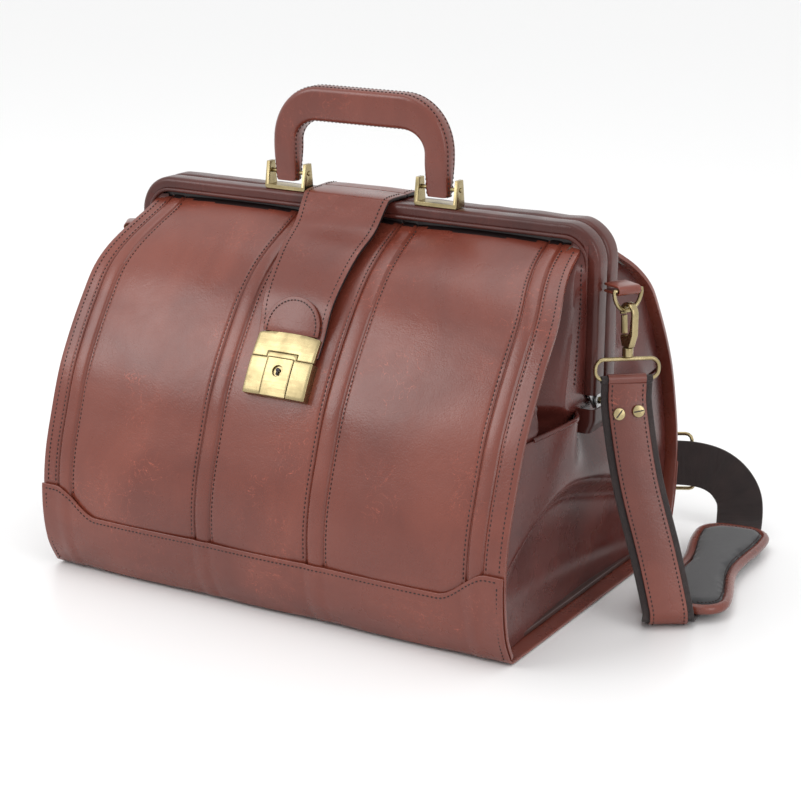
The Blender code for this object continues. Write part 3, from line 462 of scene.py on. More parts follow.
def grid(us, vs, place):
    """A bmesh grid laid on a surface, with its stations as UVs."""
    bm = bmesh.new()
    across, along = len(us) - 1, len(vs) - 1
    bmesh.ops.create_grid(bm, x_segments=across, y_segments=along, size=0.5)
    layer = bm.loops.layers.uv.new("UVMap")
    spots = {}
    for vert in bm.verts:
        i, j = round((vert.co.x + 0.5) * across), round((vert.co.y + 0.5) * along)
        spots[vert] = (us[i], vs[j])
    for face in bm.faces:
        for loop in face.loops:
            loop[layer].uv = spots[loop.vert]
    for vert, (u, v) in spots.items():
        vert.co = place(u, v)
    return bm


def sheet(name, us, vs, place, thickness, looks, inside=(0, 0, 0.13), softness=0.0, edge=0.0005,
          turned_in=0.0):
    """A hide laid on a surface: thickened inwards, with eased edges."""
    bm = grid(us, vs, place)
    bm.normal_update()
    lean_out = sum((f.normal.dot(f.calc_center_median() - Vector(inside)) * f.calc_area() for f in bm.faces))
    if lean_out < 0:
        bmesh.ops.reverse_faces(bm, faces=bm.faces)
    bm.normal_update()
    if softness:
        for vert in bm.verts:
            p = vert.co
            wave = noise.noise(p * 13.0) + 0.35 * noise.noise(p * 37.0)
            vert.co = p + vert.normal * softness * wave
    piece = made(name, bm, looks)
    body = piece.modifiers.new("Thickness", "SOLIDIFY")
    body.thickness, body.offset = thickness, -1.0
    body.material_offset = 1 if len(looks) > 1 else 0
    body.material_offset_rim = 2 if len(looks) > 2 else 0
    if edge:
        ease = piece.modifiers.new("Edge", "BEVEL")
        ease.width, ease.segments, ease.limit_method = edge, 2, "ANGLE"
        ease.angle_limit = math.radians(50)
    settle(piece)
    if turned_in:
        for face in piece.data.polygons:
            if face.material_index == 1 and abs(face.center.x) > HALF_LENGTH - turned_in:
                face.material_index = 0
    return piece


def tube(name, rings, looks, closed=False, sharp=40.0):
    """Rings of points joined into a closed skin; the ends are capped unless the path closes."""
    count = len(rings[0])
    rows = rings + [rings[0]] if closed else rings
    bm = grid([k / count for k in range(count + 1)], [float(r) for r in range(len(rows))],
              lambda u, v: rows[round(v)][round(u * count) % count])
    bmesh.ops.remove_doubles(bm, verts=bm.verts, dist=1e-6)
    if not closed:
        bmesh.ops.holes_fill(bm, edges=[e for e in bm.edges if e.is_boundary], sides=0)
    bmesh.ops.recalc_face_normals(bm, faces=bm.faces)
    return made(name, bm, looks, sharp)


def wire(name, points, radius, looks, closed=True, sides=14):
    """A round wire along points."""
    rings = []
    last = len(points) - 1
    side = None
    for k, place in enumerate(points):
        before = points[k - 1] if k or closed else place
        after = points[(k + 1) % (last + 1)] if k < last or closed else place
        ahead = (after - before).normalized()
        if side is None:
            side = ahead.orthogonal().normalized()
        side = (side - ahead * side.dot(ahead)).normalized()
        other = ahead.cross(side)
        rings.append([place + (side * math.cos(a) + other * math.sin(a)) * radius
                      for a in (2 * math.pi * s / sides for s in range(sides))])
    return tube(name, rings, looks, closed, 60.0)


def polished(node, ease, look, segments=3, crease=28.0):
    """A copy of a CAD node with eased edges."""
    bm = bmesh.new()
    bm.from_mesh(frame["nodes"][node].data)
    bmesh.ops.remove_doubles(bm, verts=bm.verts, dist=2e-6)
    bmesh.ops.dissolve_limit(bm, angle_limit=math.radians(1.0), verts=bm.verts, edges=bm.edges)
    edges = [e for e in bm.edges if len(e.link_faces) == 2 and e.calc_face_angle(0.0) > math.radians(crease)]
    bmesh.ops.bevel(bm, geom=edges, offset=ease, offset_type="OFFSET", segments=segments, profile=0.5,
                    affect="EDGES", clamp_overlap=True, material=-1)
    return made(f"{node}_finished", bm, [look])


def body_of(node):
    for body, nodes in frame["record"]["behaviour"]["bodies"].items():
        if node in nodes:
            return body
    return BODY


def spread(low, high, coarse, marks=(), reach=0.0, fine=1.0):
    """Stations from low to high, closer together within reach of each mark."""
    stations = [low]
    while stations[-1] < high - 1e-6:
        at = stations[-1]
        near = any(abs(at - m) < reach or m - reach < at + coarse <= m + reach for m in marks)
        stations.append(min(high, at + (fine if near else coarse)))
    return stations


def smooth_line(points, steps):
    """Points on a smooth curve through the given ones."""
    ends = [points[0] * 2 - points[1], *points, points[-1] * 2 - points[-2]]
    out = []
    for k in range(len(points) - 1):
        a, b, c, d = ends[k:k + 4]
        for step in range(steps):
            t = step / steps
            out.append(((2 * b) + (c - a) * t + (2 * a - 5 * b + 4 * c - d) * t * t
                        + (3 * b - a - 3 * c + d) * t ** 3) / 2)
    return out + [points[-1]]


def stitches(name, lines, slot, body=BODY, blend=None, pitch=STITCH_PITCH, onto=None):
    """Rows of single thread stitches; each line is a list of (place, normal)."""
    bm = bmesh.new()
    seed = bmesh.new()
    bmesh.ops.create_uvsphere(seed, u_segments=6, v_segments=4, radius=1.0)
    mould = bpy.data.meshes.new("stitch_mould")
    seed.to_mesh(mould)
    seed.free()
    for line in lines:
        walked, goal = 0.0, pitch / 2
        for (a, na), (b, nb) in zip(line, line[1:]):
            step = (b - a).length
            while step > 0 and walked + step >= goal:
                t = (goal - walked) / step
                ahead, up = (b - a).normalized(), na.lerp(nb, t).normalized()
                across = ahead.cross(up).normalized()
                up = across.cross(ahead)
                size = Matrix.Diagonal((STITCH_RADIUS, STITCH_LENGTH / 2, STITCH_RADIUS * 0.8, 1.0))
                turn = Matrix((across, ahead, up)).transposed().to_4x4()
                spot = a.lerp(b, t) + up * STITCH_RADIUS * 0.25
                before = len(bm.verts)
                bm.from_mesh(mould)
                bm.verts.ensure_lookup_table()
                bmesh.ops.transform(bm, matrix=Matrix.Translation(spot) @ turn @ size,
                                    verts=bm.verts[before:])
                goal += pitch
            walked += step
    bpy.data.meshes.remove(mould)
    thread = made(name, bm, [THREAD], 80.0)
    return joined(onto, thread) if onto else ready(thread, slot, body, (), blend)


# ---- the shell's shape ----
def wall_profile():
    """The wall's outer line as (distance from the middle, height), floor to mouth."""
    top = TOP_HEIGHT - JAW_HEIGHT - MOUTH_GAP
    reach = HALF_DEPTH - JAW_DEPTH
    shares = [(-0.012, 0.0), (0.000, 0.09), (BULGE, 0.24), (BULGE * 0.6, 0.35)]
    points = [(HALF_DEPTH + out, z * top) for out, z in shares]
    shoulder = [(0.036, 0.46), (0.118, 0.57), (0.220, 0.66), (0.345, 0.75), (0.483, 0.835),
                (0.640, 0.905), (0.797, 0.952), (0.925, 0.982), (1.0, 1.0)]
    return points + [(HALF_DEPTH - back * reach, z * top) for back, z in shoulder]


PROFILE = wall_profile()
MOUTH_Z = PROFILE[-1][1]


def wall_at(z):
    for k in range(len(PROFILE) - 1):
        (r0, z0), (r1, z1) = PROFILE[k], PROFILE[k + 1]
        if z <= z1 or k == len(PROFILE) - 2:
            before = PROFILE[k - 1] if k else PROFILE[k]
            after = PROFILE[min(k + 2, len(PROFILE) - 1)]
            t = (min(z, z1) - z0) / (z1 - z0)
            slope0 = (r1 - before[0]) / (z1 - before[1]) * (z1 - z0)
            slope1 = (after[0] - r0) / (after[1] - z0) * (z1 - z0)
            h = t * t * (3 - 2 * t)
            return r0 * (1 - h) + r1 * h + slope0 * t * (1 - t) ** 2 - slope1 * t * t * (1 - t)
    return PROFILE[-1][0]


def wall_y(side, z):
    return JAW_Y * smoothstep(z / HINGE_Z) + side * wall_at(z)


def wall_half_length(z):
    return HALF_LENGTH - TOP_TAPER * smoothstep((z - 0.80 * MOUTH_Z) / (0.20 * MOUTH_Z)) ** 1.5


def wall_normal(side, z):
    rise = 0.004
    z = min(z, MOUTH_Z - rise)
    up = Vector((0, wall_y(side, z + rise) - wall_y(side, z - rise), 2 * rise)).normalized()
    return Vector((-side, 0, 0)).cross(up)


def wall_point(side, x, z, lift=0.0):
    """A point on a wall's outer face, x as on the full length, moved out by lift."""
    share = x / HALF_LENGTH * wall_half_length(z)
    return Vector((share, wall_y(side, z), z)) + wall_normal(side, z) * lift


def dent(distance, width, depth):
    return -depth * math.exp(-(distance / width) ** 2)


def panel_relief(x):
    """Raised seam strips between grooves, and softly filled panels between them."""
    rise = 0.0
    edges = [-HALF_LENGTH + 0.004]
    for left, right in SEAMS:
        middle, half = (left + right) / 2, (right - left) / 2
        rise += dent(x - left, 0.0010, 0.0014) + dent(x - right, 0.0009, 0.0009)
        rise += dent(x - left + LEFT_ROW, 0.0010, 0.0004) + dent(x - right - RIGHT_ROW, 0.0010, 0.0004)
        if abs(x - middle) < half:
            rise += SEAM_CROWN * (1 - ((x - middle) / half) ** 2) ** 0.5
        edges += [left, right]
    edges.append(HALF_LENGTH - 0.004)
    for a, b in zip(edges[::2], edges[1::2]):
        if a < x < b and b - a > 0.03:
            rise += PANEL_FILL * math.sin(math.pi * (x - a) / (b - a)) ** 0.7
    return rise


PANEL_X = spread(-HALF_LENGTH, HALF_LENGTH, 0.0060, [m for pair in SEAMS for m in pair], 0.0046, 0.00055)


def wall(side, name, nodes, blend=None):
    """One long wall with its seam strips, running up under the jaw."""
    top = TOP_HEIGHT - JAW_HEIGHT + 0.001
    heights = spread(FOOT, MOUTH_Z - 0.0004, 0.0036) + spread(MOUTH_Z + 0.0004, top, 0.0012)

    def place(x, z):
        fade = smoothstep((top - z) / 0.008)
        tucked = Vector((0, -side * TOP_TUCK * smoothstep((z - MOUTH_Z) / 0.0025), max(0.0, z - MOUTH_Z)))
        return wall_point(side, x, min(z, MOUTH_Z), panel_relief(x) * fade) + tucked
    piece = sheet(name, PANEL_X, heights, place, PANEL_T, [HIDE, LINING, HIDE, EDGE_PAINT_AND_SHADE], softness=0.0004,
                  edge=0.0008, turned_in=0.016)
    # Wall faces above the mouth, in the gap under the jaw, take the black edge paint as painted shade.
    for face in piece.data.polygons:
        if face.center.z > MOUTH_Z + 0.0016:
            face.material_index = 3
    ready(piece, "leather", BODY, nodes, blend)
    rows = []
    for left, right in SEAMS:
        rows += [left - LEFT_ROW, right + RIGHT_ROW]
    rows += [-HALF_LENGTH + EDGE_ROW, HALF_LENGTH - EDGE_ROW]
    lines = []
    for x in rows:
        low = cover_height(x) + 0.002
        lines.append([(wall_point(side, x, z, panel_relief(x) * smoothstep((top - z) / 0.012)),
                       wall_normal(side, z)) for z in spread(low, MOUTH_Z - 0.001, 0.0030)])
    stitches(f"{name}_stitches", lines, "leather", BODY, blend)


def cover_height(x):
    rise = smoothstep((abs(x) - HALF_LENGTH + COVER_SHOULDER + COVER_DROP) / COVER_DROP)
    return COVER_MIDDLE + (COVER_CORNER - COVER_MIDDLE) * rise


def cover_swell(x, up):
    """How far the cover lifts off the wall, up from 0 at the floor to 1 at its top edge."""
    return COVER_FILL * math.sin(math.pi * up) + max(0.0, panel_relief(x)) * 0.5 + COVER_LIFT


def base_cover():
    """The leather round the bottom, with its scalloped and stitched top edge."""
    skin = COVER_T + 0.0003
    rows = 16
    floor = wall_at(FOOT) + skin - FOOT
    bottom = [-floor * (1 - 2 * k / 12) for k in range(13)]
    count = 2 * rows + 1 + len(bottom)

    def place(x, step):
        if rows < step <= rows + len(bottom):
            return Vector((x, bottom[step - rows - 1], 0.0004))
        side = -1 if step <= rows else 1
        up = 1 - step / rows if side < 0 else 1 - (count - step) / rows
        z = FOOT + (cover_height(x) - FOOT) * up
        return wall_point(side, x, z, skin + cover_swell(x, up))
    piece = sheet("base_cover", spread(-HALF_LENGTH, HALF_LENGTH, 0.0025), list(range(count + 1)), place,
                  COVER_T, [HIDE], inside=(0, 0, 0.05), softness=0.0003, edge=0.0006)
    ready(piece, "leather", BODY, ["base_wrap"])
    lines = []
    for side in (-1, 1):
        line = []
        for x in spread(-HALF_LENGTH + 0.003, HALF_LENGTH - 0.003, 0.0025):
            z = cover_height(x) - 0.0034
            up = (z - FOOT) / (cover_height(x) - FOOT)
            line.append((wall_point(side, x, z, skin + cover_swell(x, up)), wall_normal(side, z)))
        lines.append(line)
        for hand in (-1, 1):
            x = hand * (HALF_LENGTH - EDGE_ROW)
            lines.append([(wall_point(side, x, z, skin + 0.0012), wall_normal(side, z))
                          for z in spread(0.006, COVER_CORNER - 0.006, 0.003)])
    stitches("base_cover_stitches", lines, "leather")


# ---- gussets ----
def gusset_face(t, z):
    """How far out the gusset stands, t across from the front wall to the back wall."""
    t = min(1.0, max(0.0, t))
    ridge = RIDGE_LOW + RIDGE_RISE * math.sin(math.pi * t) ** 0.8 + RIDGE_LEAN * math.sin(2.2 * math.pi * t)
    over = smoothstep((z - ridge + 0.010) / 0.022)
    fill = math.sin(math.pi * t) ** 0.60
    by_the_legs = smoothstep((t - 0.32) / 0.14) * smoothstep((0.82 - t) / 0.16)
    pinch = LEG_PINCH * by_the_legs * smoothstep((z - 0.104) / 0.040)
    fold = 0.0012 * math.sin(z * 150.0 + 6.0 * t) * smoothstep((0.055 - z) / 0.03) * fill
    wave = 0.0014 * noise.noise(Vector((t * 3.0, z * 14.0, 3.1))) * fill
    return HALF_LENGTH - EDGE_INSET + fill * (BULGE_LEDGE * over - BULGE_SUNK) - pinch + fold + wave


def gusset(hand, side_name):
    """Lower gusset with its rolled top, and the two pleat wings that fold in beside the jaw's legs."""
    clearance = PANEL_T + 0.0006
    foot, split = 0.0026, HINGE_Z - 0.004

    def edges(z):
        return wall_y(-1, z) + clearance, wall_y(1, z) - clearance

    def lower(t, z):
        near, far = edges(z)
        return Vector((hand * gusset_face(t, z), near + (far - near) * t, z))
    piece = sheet(f"gusset_{side_name}_bellows", [k / 80 for k in range(81)], spread(foot, split, 0.0034),
                  lower, GUSSET_T, [SOFT_HIDE, LINING, SOFT_HIDE], softness=0.00015, edge=0.0002)
    ready(piece, "leather", BODY, [f"gusset_{side_name}_lower"])

    leg = JAW_DEPTH + JAW_PARTING / 2 + 0.0006
    top = TOP_HEIGHT - JAW_HEIGHT - 0.003
    behind_leg = HALF_LENGTH + JAW_OUT - JAW_HEIGHT + 0.0025
    for side, half_name, blend in ((-1, "front", None), (1, "back", BACK_BEND)):
        def wing(t, z, lift=0.0):
            opened = smoothstep((z - split) / 0.014)
            folded = smoothstep((z - split) / 0.050)
            near, far = edges(min(z, MOUTH_Z))
            outer = near if side < 0 else far
            inner = JAW_Y + side * (0.0004 + (leg - 0.0004) * opened)
            y = outer + (inner - outer) * t
            flat = gusset_face((y - near) / (far - near), min(z, split))
            rim = wall_half_length(z) - EDGE_INSET
            rim += (behind_leg - rim) * t * t
            crease = 0.46 if side < 0 else 0.55
            valley = max(0.0, 1 - abs(t - crease) / (crease if t < crease else 0.22)) ** 1.2
            depth = (FRONT_PLEAT if side < 0 else BACK_PLEAT) * valley * smoothstep((top - z) / 0.06)
            crumple = 0.0014 * noise.noise(Vector((t * 3.0, z * 22.0, side * 2.0))) * valley ** 0.5
            if side < 0:
                folded = max(folded, smoothstep((t - 0.20) / 0.22))
            x = flat + (rim - depth + crumple - flat) * folded
            tuck = 0.0030 * smoothstep((split + 0.0030 - z) / 0.0030)
            return Vector((hand * (x + lift - tuck), y, z))
        piece = sheet(f"gusset_{side_name}_{half_name}_pleat", [k / 32 for k in range(33)],
                      spread(split - (0.012 if side < 0 else 0.004), top, 0.0034), wing, GUSSET_T,
                      [SOFT_HIDE, LINING, SOFT_HIDE], softness=0.00015, edge=0.0002)
        ready(piece, "leather", BODY, [f"gusset_{side_name}_{half_name}"], blend)
        if side < 0:
            line = [(wing(0.84, z, 0.0003), Vector((hand, 0, 0)))
                    for z in spread(split + 0.022, top - 0.012, 0.003)]
            stitches(f"gusset_{side_name}_front_stitches", [line], "leather", BODY, blend)
    lip = [lower(k / 100, split) + Vector((-hand * 0.0012, 0, 0)) for k in range(9, 49)]
    roll = wire(f"gusset_{side_name}_lip", lip, LIP_RADIUS, [SOFT_HIDE], closed=False, sides=12)
    ready(roll, "leather", BODY)
    pocket(hand, side_name)


def pocket(hand, side_name):
    """Small leather cup that takes the foot of the front jaw's leg."""
    low, high = HINGE_Z - POCKET_DEEP, HINGE_Z - 0.0015

    def place(k, z):
        x, y = outline[int(k)]
        return Vector((hand * (x - 0.004 * smoothstep((HINGE_Z - 0.010 - z) / 0.012)), y, z))
    cx, cy = POCKET_CORNER
    turns = [math.radians(a) for a in range(-90, 1, 15)]
    corner = [(cx + POCKET_RADIUS * math.cos(a), cy + POCKET_RADIUS * math.sin(a)) for a in turns]
    side = cx + POCKET_RADIUS
    outline = [(0.1885, cy - POCKET_RADIUS), *corner, (side, -0.004), (side, 0.0065)]
    piece = sheet(f"hinge_pocket_{side_name}", list(range(len(outline))), spread(low, high, 0.002), place,
                  POCKET_T, [JAW_HIDE], inside=(hand * 0.19, 0, (low + high) / 2), edge=0.0003)
    ready(piece, "leather", BODY)


# ---- jaws ----
def jaw_path(steps=14):
    half = HALF_LENGTH + JAW_OUT
    foot = HINGE_Z + HINGE_EYE_R + 0.001
    corner_z = TOP_HEIGHT - JAW_RADIUS
    stations = [(Vector((-half, 0, z)), Vector((-1, 0, 0))) for z in spread(foot, corner_z - 0.002, 0.012)]
    for side, start in ((-1, 180), (1, 90)):
        centre = Vector((side * (half - JAW_RADIUS), 0, corner_z))
        for k in range(steps + 1):
            turn = math.radians(start - 90 * k / steps)
            out = Vector((math.cos(turn), 0, math.sin(turn)))
            stations.append((centre + out * JAW_RADIUS, out))
        if side < 0:
            reach = half - JAW_RADIUS
            stations += [(Vector((x, 0, TOP_HEIGHT)), Vector((0, 0, 1)))
                         for x in spread(-reach + 0.012, reach - 0.012, 0.012)]
    leg = spread(foot, corner_z - 0.002, 0.012)[::-1]
    return stations + [(Vector((half, 0, z)), Vector((1, 0, 0))) for z in leg]


def rounded_outline(low_a, high_a, low_b, high_b, radius, steps=5):
    """A rounded rectangle as (a, b) pairs."""
    points = []
    corners = ((high_a, high_b, 0), (low_a, high_b, 90), (low_a, low_b, 180), (high_a, low_b, 270))
    for ca, cb, start in corners:
        sa, sb = (1 if ca == high_a else -1), (1 if cb == high_b else -1)
        for k in range(steps + 1):
            turn = math.radians(start + 90 * k / steps)
            points.append((ca + (math.cos(turn) - sa) * radius, cb + (math.sin(turn) - sb) * radius))
    return points


def jaw(name, side, body):
    """A leather-covered frame bar with a welt along its outer edge."""
    near = JAW_Y + side * JAW_PARTING / 2
    far = near + side * JAW_DEPTH
    low, high = min(near, far), max(near, far)
    section = rounded_outline(0.0, JAW_HEIGHT, low, high, JAW_EASE)
    rings = []
    for place, out in jaw_path():
        ruck = 0.0005 * noise.noise(place * 60.0) * (1.6 if side > 0 else 0.6)
        rings.append([place - out * (inward - ruck) + Vector((0, y, 0)) for inward, y in section])
    nodes = [f"{name}_jaw_cover", f"{name}_jaw_frame"]
    ready(tube(f"{name}_jaw_leather", rings, [JAW_HIDE], sharp=50.0), "leather", body, nodes)
    welt = []
    for place, out in jaw_path():
        welt.append(place - out * (JAW_HEIGHT - WELT_IN) + Vector((0, far + side * 0.0002, 0)))
    ready(wire(f"{name}_jaw_welt", welt, WELT_RADIUS, [JAW_HIDE], closed=False, sides=10), "leather", body)


# ---- handle ----
def handle_path(foot_z, steps=14):
    top = HANDLE_TOP - HANDLE_GRIP / 2
    corner_z = top - HANDLE_BEND
    leg, grip = HANDLE_LEG / 2, HANDLE_GRIP / 2
    legs = spread(foot_z, corner_z - 0.001, 0.003)
    stations = [(Vector((-POST_X, 0, z)), Vector((-1, 0, 0)), leg) for z in legs]
    for side, start in ((-1, 180), (1, 90)):
        centre = Vector((side * (POST_X - HANDLE_BEND), 0, corner_z))
        for k in range(steps + 1):
            turn = math.radians(start - 90 * k / steps)
            share = k / steps if side < 0 else 1 - k / steps
            out = Vector((math.cos(turn), 0, math.sin(turn)))
            stations.append((centre + out * HANDLE_BEND, out, leg + (grip - leg) * smoothstep(share)))
        if side < 0:
            reach = POST_X - HANDLE_BEND
            stations += [(Vector((x, 0, top)), Vector((0, 0, 1)), grip)
                         for x in spread(-reach + 0.006, reach - 0.006, 0.006)]
    return stations + [(Vector((POST_X, 0, z)), Vector((1, 0, 0)), leg) for z in legs[::-1]]


def handle():
    """Padded grip: smooth faces, and a stitched seam along each rim on its outer and inner sides."""
    stations = handle_path(HANDLE_PIN_Z - HANDLE_FOOT)
    last = len(stations) - 1
    d = HANDLE_DEPTH / 2
    rings, rows = [], {(face, row): [] for face in (-1, 1) for row in (-1, 1)}
    for k, (place, out, half) in enumerate(stations):
        share = smoothstep(min(k, last - k) / 9.0)
        depth = d * (0.62 + 0.38 * share)
        half -= 0.0012 * (1 - smoothstep(min(k, last - k) / 1.5))
        ring = []
        for a, b in rounded_outline(-half, half, -depth, depth, min(HANDLE_EASE, depth * 0.8), 6):
            rim = -dent(abs(b) - depth * HANDLE_SEAM, HANDLE_RIB, HANDLE_RIB) * (abs(a) > half * 0.9)
            ring.append(place + out * (a - math.copysign(rim, a)) + Vector((0, HANDLE_Y + b, 0)))
        rings.append(ring)
        for (face, row), line in rows.items():
            across = Vector((0, HANDLE_Y + face * depth * HANDLE_SEAM, 0))
            line.append((place + out * row * (half - 0.0006) + across, out * row))
    ready(tube("handle_leather", rings, [HIDE], sharp=50.0), "leather", "handle", ["handle_grip"])
    stitches("handle_stitches", list(rows.values()), "leather", "handle")
    frame["nodes"]["handle_core"].data.materials.clear()
    frame["nodes"]["handle_core"].data.materials.append(STEEL)


# ---- flap, hasp and lock ----
def seat_at(up, out, place):
    """A frame with x to the right, y along up and z along out."""
    return Matrix(((1, up.x, out.x, place.x), (0, up.y, out.y, place.y), (0, up.z, out.z, place.z),
                   (0, 0, 0, 1)))


def lock_frame():
    rise = 0.010
    up = Vector((0, wall_y(-1, LOCK_Z + rise) - wall_y(-1, LOCK_Z - rise), 2 * rise)).normalized()
    out = Vector((1, 0, 0)).cross(up)
    place = Vector((0, wall_y(-1, LOCK_Z), LOCK_Z)) + out * 0.0012
    return seat_at(up, out, place)


LOCK = lock_frame()


def flap_line():
    edge = JAW_Y - JAW_PARTING / 2 - JAW_DEPTH
    seat = FLAP_T + 0.0012
    off_wall = [wall_point(-1, 0, MOUTH_Z * share, FLAP_STANDOFF + FLAP_T)
                for share in FLAP_ON_WALL]
    under = [LOCK @ Vector((0, y, seat)) for y in (HASP_TOP + 0.004, HASP_TOP - 0.006, LOCK_END)]
    return [Vector((0, FLAP_PIVOT_Y, FLAP_Z)), Vector((0, edge - 0.0005, FLAP_Z)),
            Vector((0, edge - 0.0080, FLAP_Z - 0.0045)), *off_wall, *under]


def flap_band(name, line, width_at, shift_at, nodes, blend):
    """A stitched leather strip along a line, with black painted edges."""
    path = smooth_line(line, 7)
    walked = [0.0]
    for a, b in zip(path, path[1:]):
        walked.append(walked[-1] + (b - a).length)

    def normal(k):
        ahead = (path[min(k + 1, len(path) - 1)] - path[max(0, k - 1)]).normalized()
        return ahead.cross(Vector((1, 0, 0))) * (1 if ahead.y <= 0 else -1)

    def place(u, k):
        share = walked[k] / walked[-1]
        crown = 0.0007 * (1 - (2 * u) ** 4)
        return path[k] + Vector((shift_at(share) + width_at(share) * u, 0, 0)) + normal(k) * crown
    us = [-0.5, -0.485, -0.47, -0.455, -0.44, -0.42] + [k / 40 for k in range(-16, 17)]
    us += [0.42, 0.44, 0.455, 0.47, 0.485, 0.5]
    piece = sheet(name, us, list(range(len(path))), place, FLAP_T, [HIDE, HIDE, EDGE_PAINT_AND_SHADE],
                  inside=(0, 0.01, 0.15), softness=0.0004, edge=0.0007)
    ready(piece, "leather", BODY, nodes, blend)
    lines = []
    for side in (-1, 1):
        line = []
        for k in range(1, len(path) - 1):
            share = walked[k] / walked[-1]
            u = side * (0.5 - EDGE_ROW / width_at(share))
            line.append((place(u, k), normal(k)))
        lines.append(line)
    stitches(f"{name}_stitches", lines, "leather", BODY, blend)


def flap():
    front_bend = (BACK_JAW, "closure_flap", (0, FLAP_PIVOT_Y + 0.004, FLAP_Z),
                  (0, FLAP_PIVOT_Y - 0.014, FLAP_Z))
    flap_band("flap_leather", flap_line(), lambda s: FLAP_TOP_WIDTH + (FLAP_END_WIDTH - FLAP_TOP_WIDTH) * s,
              lambda s: FLAP_SHIFT * (1 - s), ["closure_flap"], front_bend)
    back_edge = JAW_Y + JAW_PARTING / 2 + JAW_DEPTH

    def on_back(share):
        return wall_point(1, 0, MOUTH_Z * share, FLAP_T + 0.0030)
    tail = [Vector((0, FLAP_PIVOT_Y + 0.0003, FLAP_Z)), Vector((0, back_edge + 0.0005, FLAP_Z)),
            Vector((0, back_edge + 0.0075, FLAP_Z - 0.0040)), on_back(0.975) + Vector((0, 0.003, 0.002)),
            on_back(0.945), on_back(0.91), on_back(0.86)]
    flap_band("flap_anchor_leather", tail, lambda s: FLAP_TOP_WIDTH, lambda s: FLAP_SHIFT,
              ["closure_flap_anchor"], BACK_BEND)


def half_round_tab():
    """The half-round leather piece above the hasp, with its stitches."""
    start = HASP_TOP + 0.0015
    above = wall_point(-1, 0, MOUTH_Z * FLAP_ON_WALL[-1], FLAP_STANDOFF + FLAP_T)
    up = (above - LOCK @ Vector((0, HASP_TOP, FLAP_T))).normalized()
    out = Vector((1, 0, 0)).cross(up)
    base = LOCK @ Vector((0, HASP_TOP, FLAP_T + 0.0012))
    seat = seat_at(up, out, base) @ Matrix.Translation((0, -HASP_TOP, 0.0012))
    r = TAB_WIDTH / 2

    def rim(inset):
        centre_y = start + TAB_HEIGHT - r
        return [(-r + inset, start + 0.001), (-r + inset, centre_y)] + [
            (-(r - inset) * math.cos(math.radians(a)), centre_y + (r - inset) * math.sin(math.radians(a)))
            for a in range(10, 180, 10)] + [(r - inset, centre_y), (r - inset, start + 0.001)]
    bm = bmesh.new()
    face = bm.faces.new([bm.verts.new(seat @ Vector((x, y, 0))) for x, y in rim(0.0)][::-1])
    raised = bmesh.ops.extrude_face_region(bm, geom=[face])
    top = [g for g in raised["geom"] if isinstance(g, bmesh.types.BMVert)]
    bmesh.ops.translate(bm, verts=top, vec=out * TAB_T)
    bmesh.ops.recalc_face_normals(bm, faces=bm.faces)
    edges = [e for e in bm.edges if len(e.link_faces) == 2 and e.calc_face_angle(0.0) > 1.2]
    bmesh.ops.bevel(bm, geom=edges, offset=0.0006, offset_type="OFFSET", segments=3, profile=0.5,
                    affect="EDGES", clamp_overlap=True, material=-1)
    ready(made("hasp_leather", bm, [HIDE]), "leather", "closure_flap", ["flap_tab"])
    line = [(seat @ Vector((x, y, TAB_T + 0.0001)), out) for x, y in rim(TAB_ROW)]
    stitches("hasp_leather_stitches", [line], "leather", "closure_flap", pitch=TAB_PITCH)


def crowned(node, ease, rise):
    """A polished plate whose front face swells towards its middle."""
    piece = polished(node, ease, BRASS)
    bm = bmesh.new()
    bm.from_mesh(piece.data)
    across = (LOCK.to_3x3() @ Vector((1, 0, 0))).normalized()
    up = (LOCK.to_3x3() @ Vector((0, 1, 0))).normalized()
    columns, rows = [k * 0.0030 for k in range(-9, 10)], [k * 0.0025 for k in range(-10, 12)]
    for direction, stations in ((across, columns), (up, rows)):
        for station in stations:
            bmesh.ops.bisect_plane(bm, geom=bm.verts[:] + bm.edges[:] + bm.faces[:], dist=1e-6,
                                   plane_co=LOCK.translation + direction * station, plane_no=direction)
    back = LOCK.inverted()
    out = (LOCK.to_3x3() @ Vector((0, 0, 1))).normalized()
    for vert in bm.verts:
        local = back @ vert.co
        share = smoothstep((local.z - 0.003) / 0.004)
        fall = (local.x / LOCK_HALF_WIDTH) ** 2 * 0.6 + ((local.y - 0.0005) / LOCK_HALF_HEIGHT) ** 2 * 0.9
        vert.co = vert.co + out * share * rise * (0.5 - fall)
    bm.normal_update()
    mesh = bpy.data.meshes.new(piece.name)
    bm.to_mesh(mesh)
    bm.free()
    mesh.materials.append(BRASS)
    mesh.shade_smooth()
    mesh.set_sharp_from_angle(angle=math.radians(38))
    piece.data = mesh
    return piece


